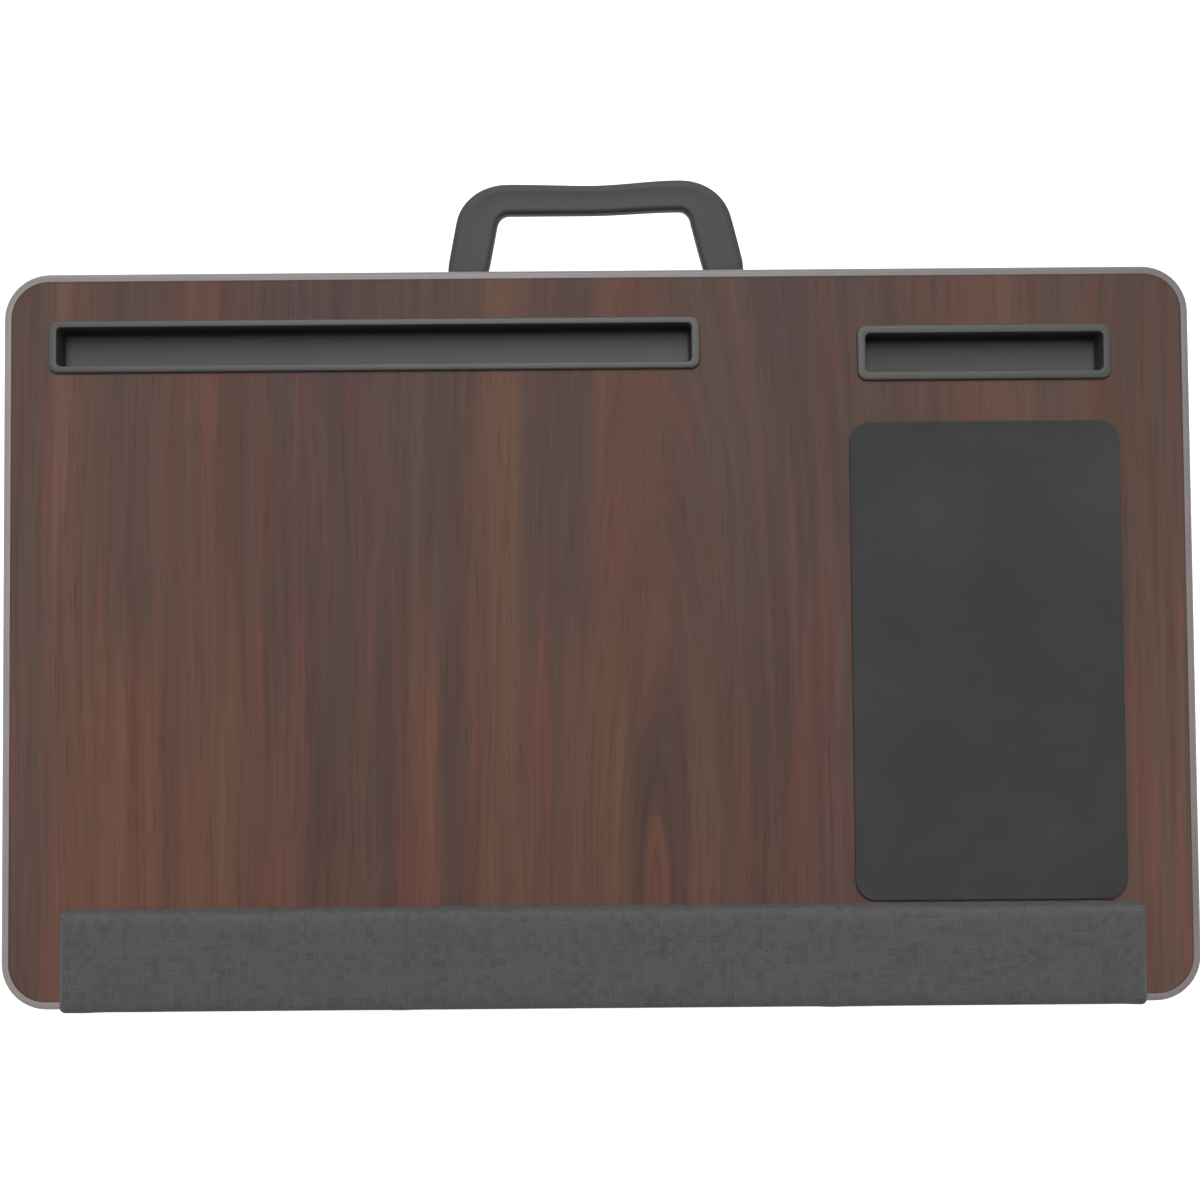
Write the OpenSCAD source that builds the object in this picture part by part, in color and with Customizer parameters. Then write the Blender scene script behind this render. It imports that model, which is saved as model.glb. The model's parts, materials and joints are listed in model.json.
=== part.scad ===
// Lap desk: a wood-grain board with a tablet slot, a phone slot, a mouse pad and a padded
// wrist rest. A carry handle folds down from under the rear edge, and a bead-filled cushion
// with a sewn channel lies below. Millimetres. X runs from left to right, Y from the front
// to the back and Z up. The origin lies on the surface that the cushion rests on, under the
// middle of the whole object.

/* [Board] */
// Width of the board, from left to right
board_w = 600; // [560:1:680]
// Depth of the board, from front to back
board_d = 370; // [350:1:420]
// Plan radius of the board's corners
corner_r = 23; // [16:1:30]
// Thickness of the core
core_t = 12; // [11:0.5:18]
// Thickness of the wood-grain laminate on top
top_lam_t = 0.6; // [0.4:0.1:1.2]
// Thickness of the backing laminate underneath
under_lam_t = 0.4; // [0.3:0.1:1.2]

/* [Edge band] */
// How far the edge band stands out from the core
band_t = 4; // [2:0.5:5]
// Radius of the band's outer edges, top and bottom
band_edge_r = 2.2; // [1:0.1:3]
// How far the band's tongue reaches into the core
tongue_l = 4; // [2:0.5:6]
// Thickness of the tongue
tongue_t = 2; // [1:0.5:3]

/* [Tablet tray] */
// Length of the tray over its rim
tablet_w = 329.5; // [280:0.5:340]
// Depth of the tray over its rim
tablet_d = 26.5; // [23:0.5:32]
// Width of the rim along the slot
tablet_rim_w = 3.4; // [2.5:0.1:5]
// Width of the rim at the slot's ends
tablet_end_w = 4.4; // [2.5:0.1:5]
// From the board's left edge to the rim
tablet_left = 23; // [20:0.5:32]
// From the board's rear edge to the rim
tablet_back = 24.3; // [24:0.1:32]

/* [Phone tray] */
// Length of the tray over its rim
phone_w = 128.5; // [100:0.5:145]
// Depth of the tray over its rim
phone_d = 28; // [24:0.5:32]
// Width of the rim
phone_rim_w = 4.2; // [2.5:0.1:5]
// From the board's right edge to the rim
phone_right = 39.8; // [34:0.1:50]
// From the board's rear edge to the rim
phone_back = 29.6; // [24:0.1:36]

/* [Both trays] */
// How far the rims stand out above the board
rim_h = 1.8; // [1:0.1:3]
// Plan radius of the rims' outer corners
rim_corner_r = 5; // [3:0.5:7]
// Radius along the rims' outer edges
rim_edge_r = 1; // [0.4:0.1:1.4]
// Plan radius of the slots' corners
slot_corner_r = 2; // [1:0.5:3]
// Wall thickness of the trays
tray_wall = 1.4; // [1:0.1:2]
// How much narrower the slots are at their floors, on each long side
slot_draft = 0.4; // [0:0.1:1]

/* [Mouse pad] */
// Width of the mouse pad
pad_w = 136; // [110:1:150]
// Depth of the mouse pad
pad_d = 240; // [200:1:244]
// From the board's right edge to the pad
pad_right = 36.7; // [30:0.1:46]
// Plan radius of the pad's corners
pad_r = 10.5; // [5:0.5:20]
// Thickness of the smooth upper sheet
pad_sheet_t = 0.9; // [0.5:0.1:2]
// Thickness of the foam rubber under it
pad_base_t = 1.1; // [0.8:0.1:3]
// How far the foam rubber lies inside the upper sheet's outline
pad_base_in = 0.4; // [0.2:0.1:1]

/* [Wrist rest] */
// Length of the wrist rest
wrist_w = 533.5; // [480:0.5:545]
// Depth of the wrist rest
wrist_d = 49.5; // [40:0.5:55]
// Height of the wrist rest above the board
wrist_h = 16; // [12:0.5:22]
// From the middle of the board to the middle of the rest, to the right
wrist_x = 0.9; // [0:0.1:6]
// From the board's front edge to the rest
wrist_front = 1.2; // [0:0.1:4]
// Radius along the rest's upper edges
wrist_edge_r = 4; // [2:0.5:6]
// Plan radius of the rest's corners
wrist_corner_r = 3; // [1:0.5:5]
// How far the top rises in the middle of its depth
wrist_crown = 0.8; // [0.4:0.1:2]
// Thickness of the rest's fabric
wrist_cover_t = 1; // [0.6:0.1:2]
// Thickness of the rest's stiff base strip
wrist_base_t = 4; // [3.5:0.5:6]
// Number of screws that hold the rest
wrist_screws = 5; // [3:1:7]
// From the rest's ends to the outer screws
wrist_screw_in = 30; // [20:1:60]
// Shank radius of these screws
wrist_screw_r = 1.75; // [1.5:0.05:2.2]
// Head radius of these screws
wrist_head_r = 3.4; // [3:0.1:4]
// Head height of these screws
wrist_head_h = 1; // [0.8:0.1:1.4]
// How far these screws reach into the base strip
wrist_screw_grip = 3; // [2:0.5:3]

/* [Handle] */
// How far the handle's right shoulder stands out behind the board
handle_reach = 51; // [44:0.1:54]
// How much further out the right shoulder lies than the left one
bar_rise = 1.6; // [0:0.1:2.5]
// How much nearer the middle the right shoulder lies than the left one
shoulder_in = 1.6; // [0:0.1:2]
// Distance between the middles of the legs at the board's rear edge
handle_span = 134.2; // [120:0.1:150]
// Inward lean of the legs, in degrees
handle_lean = 10.8; // [6:0.1:16]
// Bend radius along the middle of the grip
handle_bend_r = 17; // [14:0.5:20]
// Width of the grip along its bar
bar_w = 15.8; // [13:0.1:17]
// Width of the grip along its legs
leg_w = 21.2; // [19:0.1:24]
// How far the bar's outer edge dips in the middle
bar_dip = 0.9; // [0.6:0.1:2]
// From the board's rear edge to where the grip starts
grip_start = 3; // [2.5:0.1:5]
// Thickness of the grip
grip_t = 9; // [8:0.1:10]
// Depth of the grip's long shallow hollow, above and below
grip_hollow = 0.5; // [0.2:0.1:0.8]
// Width of the stiff core inside the grip
spine_w = 9; // [7:0.5:10]
// Thickness of the stiff core
spine_t = 4.4; // [3:0.1:5]
// From the board's rear edge to the hinge, forwards
pivot_in = 6; // [5:0.5:8]
// From the board's underside down to the hinge
pivot_drop = 6.5; // [6.5:0.1:8]

/* [Handle hinge] */
// Radius of the hinge pins
pin_r = 2; // [1.5:0.1:2.4]
// Radius of the pins' heads
pin_head_r = 3.2; // [2.8:0.1:4]
// Thickness of the pins' heads
pin_head_t = 1; // [0.8:0.1:1.5]
// Radius of the eyes on the core, round the pins
eye_r = 4.6; // [4:0.1:5]
// Width of the eyes
eye_w = 11; // [9:0.5:12]
// Radius of the brackets' ears, round the pins
ear_r = 5.2; // [4.6:0.1:5.6]
// Thickness of the ears
ear_t = 3; // [2:0.5:4]
// Width of the brackets' plates
plate_w = 27; // [26:1:34]
// Depth of the brackets' plates
plate_d = 21; // [20:0.5:22]
// Thickness of the brackets' plates
plate_t = 1.6; // [1.2:0.1:1.8]
// How far the plates reach behind the hinge
plate_back = 1; // [0:0.5:2]
// Plan radius of the plates' corners
plate_r = 3; // [1:0.5:4]
// Shank radius of the bracket screws
plate_screw_r = 1.6; // [1.4:0.1:2]
// Head radius of the bracket screws
plate_head_r = 3; // [2.6:0.1:3.4]
// Head height of the bracket screws
plate_head_h = 1.8; // [1.4:0.1:2.4]
// From the plates' edges to the bracket screws' heads
plate_head_in = 1.5; // [1:0.1:2]
// How far the bracket screws reach into the core
plate_screw_grip = 8; // [6:0.5:9]

/* [Cushion] */
// Distance from the cushion's sides to the board's
cushion_in = 22; // [16:1:40]
// Distance from the cushion's front to the board's front edge
cushion_front = 20; // [14:1:40]
// Distance from the cushion's back to the board's rear edge
cushion_back = 38; // [34:1:50]
// Height of the cushion under its panel
cushion_h = 57; // [57:1:70]
// How far the cushion's sides swell out
cushion_swell = 6; // [3:0.5:8]
// How far its sides draw in between the corners
cushion_draw = 4; // [1:0.5:6]
// How far its corners are rounded off
cushion_corner = 9; // [6:0.5:14]
// Height of the sewn channel, as a share of the cushion's own height left there
channel_keep = 0.66; // [0.5:0.01:0.85]
// Depth of the flat that the cushion stands on
flat_cut = 0.5; // [0.3:0.1:2]
// Thickness of the cushion's cover
cover_t = 1.6; // [1.2:0.1:3]
// Thickness of the stiff panel on top of the cushion
panel_t = 2.5; // [2:0.1:4]
// Distance from the cushion's seam to the panel
panel_in = 10; // [9:0.5:14]
// Plan radius of the panel's corners
panel_r = 26; // [18:1:40]
// Radius of the piping round the panel
piping_r = 1.7; // [1.2:0.1:1.9]
// Length of each hook and loop strip
strip_w = 90; // [50:1:120]
// Depth of each hook and loop strip
strip_d = 25; // [16:1:30]
// Thickness of a hook strip, and of a loop strip
strip_t = 1.2; // [0.8:0.1:2]
// Plan radius of the strips' corners
strip_r = 2; // [1:0.5:5]
// Distance from the panel's edges to the strips
strip_in = 18; // [12:1:30]

/* [Zip] */
// Length of the zip's tape
zip_l = 340; // [240:1:360]
// Height of the tape
zip_h = 22; // [20:1:24]
// Thickness of the tape
zip_tape_t = 0.8; // [0.5:0.1:1.2]
// Height of the zip above the cushion's foot, as a share of the cushion's height
zip_at = 0.69; // [0.65:0.01:0.72]
// Where the facing behind the tape lies, as a share of the cushion's swell
facing_at = 0.66; // [0.6:0.01:0.72]
// How far the facing reaches beyond the tape's edges
facing_edge = 1; // [0.5:0.5:3]
// Height of the row of teeth
teeth_h = 5; // [4:0.1:6]
// How far the teeth stand out from the tape
teeth_t = 1.6; // [1.2:0.1:2]
// Distance from one tooth to the next
teeth_pitch = 4; // [3:0.5:6]
// Distance from the tape's ends to the end stops
zip_end = 10; // [8:1:20]
// Length of the end stops
stop_l = 3; // [2:0.5:4]
// How far the end stops reach above and below the teeth
stop_over = 0.8; // [0.4:0.1:1.2]
// Length of the slider
slider_l = 12; // [9:0.5:14]
// Height of the slider
slider_h = 9.6; // [9.5:0.1:12]
// Thickness of the slider's plate and sides
slider_t = 1.2; // [0.8:0.1:1.6]
// Length of the pull, from its eye
pull_l = 26; // [16:1:34]
// Height of the pull
pull_h = 8; // [6:0.5:10]
// Thickness of the pull
pull_t = 1.6; // [1:0.1:2]
// Radius of the rod that the pull hangs on
bail_r = 0.8; // [0.6:0.1:1]
// Wall of the pull's eye
pull_wall = 0.9; // [0.7:0.1:1.2]

/* [Fits] */
// Gap between the mouse pad and the wrist rest
pad_gap = 0.6; // [0.4:0.1:4]
// Gap between the trays and the cut-outs in the board
tray_gap = 0.3; // [0.2:0.05:0.6]
// Gap round the edge band's tongue
tongue_gap = 0.1; // [0.05:0.05:0.2]
// Gap round the shank of a screw
screw_gap = 0.05; // [0.02:0.01:0.1]
// Running gap round the hinge pins
run_gap = 0.05; // [0.03:0.01:0.1]
// Gap beside the eyes, and beside the pull's eye
side_gap = 0.3; // [0.2:0.05:0.5]
// Gap round the soft pieces inside the covers
soft_gap = 0.3; // [0.2:0.05:0.5]
// Gap between the slider and the teeth
slide_gap = 0.3; // [0.2:0.05:0.4]

/* [Hidden] */
$fn = 48;

// A little more than a cut's depth, so that it passes right through
past = 1;

// Heights, from the foot of the cushion up
loop_z = cushion_h + panel_t;
hook_z = loop_z + strip_t;
under_z = hook_z + strip_t;
core_z = under_z + under_lam_t;
top_lam_z = core_z + core_t;
top_z = top_lam_z + top_lam_t;
board_t = under_lam_t + core_t + top_lam_t;

// The board's edges, and the shift that puts the origin under the middle of the whole
rear_y = board_d / 2;
front_y = -board_d / 2;
shift_y = handle_reach / 2;

// The trays
tablet_x = tablet_left + tablet_w / 2 - board_w / 2;
tablet_y = rear_y - tablet_back - tablet_d / 2;
phone_x = board_w / 2 - phone_right - phone_w / 2;
phone_y = rear_y - phone_back - phone_d / 2;
tray_foot_z = core_z + tray_gap;

// The wrist rest and the mouse pad behind it
wrist_y = front_y + wrist_front + wrist_d / 2;
pad_x = board_w / 2 - pad_right - pad_w / 2;
pad_y = wrist_y + wrist_d / 2 + pad_gap + pad_d / 2;
wrist_crown_r = (pow(wrist_d / 2, 2) + pow(wrist_crown, 2)) / (2 * wrist_crown);
wrist_screw_step = (wrist_w - 2 * wrist_screw_in) / (wrist_screws - 1);

// The handle's middle line: two leaning legs, two bends and a bar
bar_y = handle_reach - bar_rise - bar_w / 2;
bend_apex_x = handle_span / 2 - bar_y * tan(handle_lean);
bend_tangent = handle_bend_r * tan((90 - handle_lean) / 2);
bend_x = bend_apex_x - bend_tangent;
bend_y = bar_y - handle_bend_r;
leg_end_x = bend_x + handle_bend_r * cos(handle_lean);
leg_end_y = bend_y + handle_bend_r * sin(handle_lean);
pivot_z = under_z - pivot_drop;
pivot_x = handle_span / 2 + pivot_in * tan(handle_lean);
ear_gap_w = eye_w + 2 * side_gap;
pin_l = ear_gap_w + 2 * ear_t;
plate_front = pivot_in + plate_d - plate_back;
plate_screw_side = plate_w / 2 - plate_head_r - plate_head_in;
plate_screw_back = plate_front - plate_head_r - plate_head_in;
leg_steps = 4;
bend_steps = 8;
bar_steps = 8;
grip_sides = 24;

// The cushion
cushion_w = board_w - 2 * cushion_in;
cushion_d = board_d - cushion_front - cushion_back;
cushion_y = (cushion_front - cushion_back) / 2;
panel_w = cushion_w - 2 * panel_in;
panel_d = cushion_d - 2 * panel_in;
strip_x = panel_w / 2 - strip_in - strip_w / 2;
strip_y = panel_d / 2 - strip_in - strip_d / 2;

// The zip, on a flat facing at the back of the cushion
zip_z = cushion_h * zip_at;
facing_y = cushion_y + cushion_d / 2 - cushion_draw + cushion_swell * facing_at;
tape_y = facing_y + zip_tape_t;
teeth_top_y = tape_y + teeth_t;
teeth_l = zip_l - 2 * zip_end;
stop_h = teeth_h + 2 * stop_over;
slider_y = teeth_top_y + slide_gap;
slider_x = teeth_l / 2 - slider_l / 2 - slide_gap;
pull_eye_r = bail_r + run_gap + pull_wall;
bail_y = slider_y + slider_t + pull_eye_r + side_gap;
bail_h = pull_h * 0.5;

// Where the whole stands in its own frame
module placed() {
    translate([0, -shift_y, 0]) children();
}

// Children on both sides of the middle plane
module both_sides() {
    children();
    mirror([1, 0, 0]) children();
}

// Flat shapes

module rounded_rect(w, d, r) {
    square([w - 2 * r, d], center = true);
    square([w, d - 2 * r], center = true);
    for (x = [-1, 1])
        for (y = [-1, 1])
            translate([x * (w / 2 - r), y * (d / 2 - r)]) circle(r);
}

// Half an outline with its upper outer corner rounded, for turning and extruding
module rounded_half(w, h, r) {
    intersection() {
        square([w, h]);
        union() {
            square([w - r, h]);
            translate([0, -r]) square([w, h]);
            translate([w - r, h - r]) circle(r);
        }
    }
}

module rounded_top(w, h, r) {
    rounded_half(w / 2, h, r);
    mirror([1, 0]) rounded_half(w / 2, h, r);
}

// Solids

module sheet(w, d, r, t) {
    linear_extrude(t) rounded_rect(w, d, r);
}

// An outline in Y and Z, drawn out along X
module along_x(l) {
    rotate([90, 0, 90]) linear_extrude(l, center = true) children();
}

// An outline in X and Z, drawn out along Y
module along_y(l) {
    rotate([90, 0, 0]) linear_extrude(l, center = true) children();
}

// A block with round corners in plan and a radius along its upper edges
module soft_block(w, d, h, corner, edge) {
    along_x(w - 2 * corner) rounded_top(d, h, edge);
    along_y(d - 2 * corner) rounded_top(w, h, edge);
    for (x = [-1, 1])
        for (y = [-1, 1])
            translate([x * (w / 2 - corner), y * (d / 2 - corner), 0])
                rotate_extrude() rounded_half(corner, h, edge);
}

// A profile taken round a rounded rectangle. X of the profile is measured outwards from the
// centre of each corner.
module ring_profile(w, d, r) {
    for (side = [0, 1])
        mirror([side, 0, 0]) {
            translate([w / 2 - r, 0, 0]) along_y(d - 2 * r) children();
            for (end = [0, 1])
                mirror([0, end, 0])
                    translate([w / 2 - r, d / 2 - r, 0])
                        rotate_extrude(angle = 90) children();
        }
    for (end = [0, 1])
        mirror([0, end, 0])
            translate([0, d / 2 - r, 0]) along_x(w - 2 * r) children();
}

// A rod along X, its middle at the origin
module rod_x(r, l) {
    rotate([0, 90, 0]) cylinder(r = r, h = l, center = true);
}

// Board

// Where the rest's screws stand
module at_wrist_screws() {
    for (i = [0 : wrist_screws - 1])
        translate([wrist_x - wrist_w / 2 + wrist_screw_in + i * wrist_screw_step, wrist_y, 0])
            children();
}

// Where the bracket screws stand
module at_bracket_screws() {
    for (side = [-1, 1])
        for (x = [-1, 1])
            translate([side * pivot_x + x * plate_screw_side, rear_y - plate_screw_back, 0])
                children();
}

// The cut-outs that the trays drop into
module tray_cutouts() {
    grow = 2 * (tray_wall + tray_gap);
    translate([tablet_x, tablet_y])
        rounded_rect(tablet_w - 2 * tablet_end_w + grow, tablet_d - 2 * tablet_rim_w + grow,
            slot_corner_r + grow / 2);
    translate([phone_x, phone_y])
        rounded_rect(phone_w - 2 * phone_rim_w + grow, phone_d - 2 * phone_rim_w + grow,
            slot_corner_r + grow / 2);
}

// One layer of the board, inside the edge band
module board_layer(z, t) {
    translate([0, 0, z])
        sheet(board_w - 2 * band_t, board_d - 2 * band_t, corner_r - band_t, t);
}

// The tongue's section, or with a gap the kerf's. It starts a little outside the core's edge.
module tongue_section(gap) {
    translate([corner_r - band_t - tongue_l - gap, board_t / 2 - tongue_t / 2 - gap])
        square([tongue_l + gap + past, tongue_t + 2 * gap]);
}

module board_core() {
    color("burlywood") placed() difference() {
        board_layer(core_z, core_t);
        translate([0, 0, core_z - past]) linear_extrude(core_t + 2 * past) tray_cutouts();
        translate([0, 0, under_z]) ring_profile(board_w, board_d, corner_r)
            tongue_section(tongue_gap);
        at_wrist_screws()
            translate([0, 0, core_z - past])
                cylinder(r = wrist_screw_r + screw_gap, h = core_t + 2 * past);
        at_bracket_screws()
            translate([0, 0, core_z - past])
                cylinder(r = plate_screw_r + screw_gap, h = plate_screw_grip + past + screw_gap);
    }
}

module top_laminate() {
    color([0.38, 0.29, 0.26]) placed() difference() {
        board_layer(top_lam_z, top_lam_t);
        translate([0, 0, top_lam_z - past])
            linear_extrude(top_lam_t + 2 * past) tray_cutouts();
        at_wrist_screws()
            translate([0, 0, top_lam_z - past])
                cylinder(r = wrist_screw_r + screw_gap, h = top_lam_t + 2 * past);
    }
}

module under_laminate() {
    color([0.2, 0.2, 0.2]) placed() difference() {
        board_layer(under_z, under_lam_t);
        at_wrist_screws()
            translate([0, 0, under_z - past])
                cylinder(r = wrist_screw_r + screw_gap, h = under_lam_t + 2 * past);
        at_bracket_screws()
            translate([0, 0, under_z - past])
                cylinder(r = plate_screw_r + screw_gap, h = under_lam_t + 2 * past);
    }
}

// The band's section: a strip with round outer edges and a tongue that holds it in the core
module band_section() {
    intersection() {
        translate([corner_r - band_t, 0]) square([band_t, board_t]);
        union() {
            translate([0, band_edge_r]) square([corner_r, board_t - 2 * band_edge_r]);
            square([corner_r - band_edge_r, board_t]);
            for (z = [band_edge_r, board_t - band_edge_r])
                translate([corner_r - band_edge_r, z]) circle(band_edge_r);
        }
    }
    tongue_section(0);
}

module edge_band() {
    color([0.6, 0.56, 0.56]) placed()
        translate([0, 0, under_z]) ring_profile(board_w, board_d, corner_r) band_section();
}

// Trays

// The outline of a slot in Y and Z: a flat floor between two long walls that narrow a little
// on the way down. The slot's wall adds "grow".
module slot_outline(d, foot, grow) {
    half = d / 2 + grow;
    rim_z = top_z + rim_h;
    polygon([
        [half, rim_z + past],
        [half, rim_z],
        [half - slot_draft, foot - grow],
        [slot_draft - half, foot - grow],
        [-half, rim_z],
        [-half, rim_z + past]
    ]);
}

module tray_slot(w, d, grow) {
    intersection() {
        along_x(w + 2 * grow + 2 * past) slot_outline(d, tray_foot_z + tray_wall, grow);
        translate([0, 0, tray_foot_z - past])
            sheet(w + 2 * grow, d + 2 * grow, slot_corner_r + grow, board_t + rim_h + 3 * past);
    }
}

module tray(w, d, rim_w, end_w) {
    slot_w = w - 2 * end_w;
    slot_d = d - 2 * rim_w;
    difference() {
        union() {
            translate([0, 0, top_z]) soft_block(w, d, rim_h, rim_corner_r, rim_edge_r);
            intersection() {
                tray_slot(slot_w, slot_d, tray_wall);
                translate([0, 0, top_z / 2 + rim_h / 4])
                    cube([w, d, top_z + rim_h / 2], center = true);
            }
        }
        tray_slot(slot_w, slot_d, 0);
    }
}

module tablet_tray() {
    color([0.36, 0.35, 0.34]) placed()
        translate([tablet_x, tablet_y, 0])
            tray(tablet_w, tablet_d, tablet_rim_w, tablet_end_w);
}

module phone_tray() {
    color([0.36, 0.35, 0.34]) placed()
        translate([phone_x, phone_y, 0]) tray(phone_w, phone_d, phone_rim_w, phone_rim_w);
}

// Mouse pad

module mouse_pad_base() {
    color([0.1, 0.1, 0.1]) placed() translate([pad_x, pad_y, top_z])
        sheet(pad_w - 2 * pad_base_in, pad_d - 2 * pad_base_in, pad_r - pad_base_in, pad_base_t);
}

module mouse_pad_sheet() {
    color([0.25, 0.25, 0.25]) placed() translate([pad_x, pad_y, top_z + pad_base_t])
        sheet(pad_w, pad_d, pad_r, pad_sheet_t);
}

// Wrist rest

// A padded bar with soft upper edges, round corners in plan and a crowned top. "in" makes
// it smaller all round but at its foot.
module padded_bar(in) {
    h = wrist_h - in;
    edge = wrist_edge_r - in;
    intersection() {
        along_x(wrist_w) rounded_top(wrist_d - 2 * in, h, edge);
        along_y(wrist_d) rounded_top(wrist_w - 2 * in, h, edge);
        sheet(wrist_w - 2 * in, wrist_d - 2 * in, wrist_corner_r, h);
        translate([0, 0, h - wrist_crown_r]) rod_x(wrist_crown_r, wrist_w, $fn = 720);
    }
}

module wrist_rest_cover() {
    color([0.33, 0.33, 0.33]) placed() translate([wrist_x, wrist_y, top_z]) difference() {
        padded_bar(0);
        padded_bar(wrist_cover_t);
    }
}

module wrist_rest_foam() {
    color([0.85, 0.83, 0.78]) placed() translate([wrist_x, wrist_y, top_z]) difference() {
        padded_bar(wrist_cover_t + soft_gap);
        translate([0, 0, wrist_base_t / 2 - past])
            cube([wrist_w, wrist_d, wrist_base_t + 2 * past], center = true);
    }
}

module wrist_rest_base() {
    in = wrist_cover_t + soft_gap;
    color([0.15, 0.15, 0.15]) placed() difference() {
        translate([wrist_x, wrist_y, top_z])
            sheet(wrist_w - 2 * in, wrist_d - 2 * in, wrist_corner_r, wrist_base_t);
        at_wrist_screws()
            translate([0, 0, top_z - past])
                cylinder(r = wrist_screw_r + screw_gap, h = wrist_screw_grip + past + screw_gap);
    }
}

module wrist_rest_screws() {
    color("silver") placed() at_wrist_screws() {
        translate([0, 0, under_z])
            cylinder(r = wrist_screw_r, h = board_t + wrist_screw_grip);
        translate([0, 0, under_z - wrist_head_h]) cylinder(r = wrist_head_r, h = wrist_head_h);
    }
}

// Handle. Its middle line and grip are worked out from the board's rear edge.

function soft_pow(v, p) = sign(v) * pow(abs(v), p);
function ease(t) = t * t * (3 - 2 * t);
function share(v) = min(1, max(0, v));

// Stations along half of the grip, from the right leg's end to the middle of the bar:
// [x, y, direction of the outer side, half the width]
leg_stations = [
    for (i = [0 : leg_steps])
        let(
            t = i / leg_steps,
            y = grip_start + (leg_end_y - grip_start) * t,
            x = leg_end_x + (leg_end_y - y) * tan(handle_lean)
        )
        [x, y, handle_lean * min(1, t * 2), leg_w / 2]
];
bend_stations = [
    for (i = [1 : bend_steps])
        let(t = i / bend_steps, a = handle_lean + (90 - handle_lean) * t)
        [bend_x + handle_bend_r * cos(a), bend_y + handle_bend_r * sin(a), a,
            (leg_w + (bar_w - leg_w) * ease(t)) / 2]
];
bar_stations = [
    for (i = [1 : bar_steps])
        let(t = i / bar_steps, x = bend_x * (1 - t), dip = bar_dip * ease(t))
        [x, bar_y - dip / 2, 90, (bar_w - dip) / 2]
];

// A line from end to end out of its right half. Its right shoulder rises further out, and
// the right leg leans in towards it.
function whole_line(half) = [
    for (i = [1 - len(half) : len(half) - 1])
        let(
            s = half[len(half) - 1 - abs(i)],
            x = i > 0 ? -s[0] : s[0],
            right = ease(share((x / bend_x + 0.1) / 1.1)),
            rise = bar_rise * right * share(s[1] / bar_y),
            inward = shoulder_in * right * share((s[1] - 0.19 * bar_y) / (0.53 * bar_y))
        )
        [x - inward, s[1] + rise, i > 0 ? 180 - s[2] : s[2], s[3]]
];
grip_stations = whole_line(concat(leg_stations, bend_stations, bar_stations));

// One point of the grip's section: a flattened round with a long hollow above and below
function grip_point(s, a) =
    let(
        across = s[3] * soft_pow(cos(a), 0.62),
        inner = abs(across) / (s[3] * 0.62),
        hollow = inner < 1 ? grip_hollow * pow(cos(90 * inner), 2) : 0,
        up = (grip_t / 2 - hollow) * soft_pow(sin(a), 0.4)
    )
    [s[0] + across * cos(s[2]), s[1] + across * sin(s[2]), up];

module grip_solid() {
    n = grip_sides;
    last = len(grip_stations) - 1;
    points = [for (s = grip_stations) for (j = [0 : n - 1]) grip_point(s, 360 * j / n)];
    sides = [
        for (i = [0 : last - 1])
            for (j = [0 : n - 1])
                let(a = i * n + j, b = i * n + (j + 1) % n, c = a + n, d = b + n)
                each [[a, b, d], [a, d, c]]
    ];
    start = [for (j = [n - 1 : -1 : 0]) j];
    end = [for (j = [0 : n - 1]) last * n + j];
    polyhedron(points, concat([start], sides, [end]));
}

// The flat bar inside the grip follows the same legs and bends, from eye to eye
spine_foot_y = eye_r * 0.6 - pivot_in;
spine_foot_x = leg_end_x + (leg_end_y - spine_foot_y) * tan(handle_lean);
spine_line = whole_line(concat(
    [for (p = [[spine_foot_x, spine_foot_y], [leg_end_x, leg_end_y]])
        [p[0], p[1], handle_lean, leg_w / 2]],
    bend_stations,
    bar_stations
));
function spine_side(out) = [
    for (s = spine_line) [s[0] + out * cos(s[2]), s[1] + out * sin(s[2])]
];

module spine_bar() {
    outer = spine_side(spine_w / 2);
    inner = spine_side(-spine_w / 2);
    linear_extrude(spine_t, center = true)
        polygon(concat(outer, [for (i = [len(inner) - 1 : -1 : 0]) inner[i]]));
}

// Where the handle lies: its middle line starts at the board's rear edge
module at_handle() {
    translate([0, rear_y, pivot_z]) children();
}

module handle_grip() {
    color([0.32, 0.32, 0.32]) placed() at_handle() difference() {
        grip_solid();
        spine_bar();
    }
}

module handle_spine() {
    color([0.12, 0.12, 0.12]) placed() at_handle() difference() {
        union() {
            spine_bar();
            both_sides() translate([pivot_x, -pivot_in, 0]) rod_x(eye_r, eye_w);
        }
        both_sides() translate([pivot_x, -pivot_in, 0]) rod_x(pin_r + run_gap, eye_w + 2 * past);
        // The leaning legs are cut off at the sides of the eyes, so that they pass the ears
        both_sides()
            for (side = [-1, 1])
                translate([pivot_x + side * (eye_w + spine_w) / 2, -pivot_in, 0])
                    cube([spine_w, 2 * (ear_r + past), spine_t + 2 * past], center = true);
    }
}

// A plate under the board with two ears that hold the hinge pin
module bracket() {
    difference() {
        union() {
            translate([0, -plate_front + plate_d / 2, pivot_drop - plate_t])
                sheet(plate_w, plate_d, plate_r, plate_t);
            for (side = [-1, 1])
                translate([side * (ear_gap_w + ear_t) / 2, -pivot_in, 0]) {
                    rod_x(ear_r, ear_t);
                    translate([0, 0, (pivot_drop - plate_t / 2) / 2])
                        cube([ear_t, 2 * ear_r, pivot_drop - plate_t / 2], center = true);
                }
        }
        translate([0, -pivot_in, 0]) rod_x(pin_r + screw_gap, pin_l + 2 * past);
        for (x = [-1, 1])
            translate([x * plate_screw_side, -plate_screw_back, pivot_drop - plate_t - past])
                cylinder(r = plate_screw_r + screw_gap, h = plate_t + 2 * past);
    }
}

module handle_bracket_left() {
    color([0.14, 0.14, 0.14]) placed() at_handle() translate([-pivot_x, 0, 0]) bracket();
}

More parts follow.
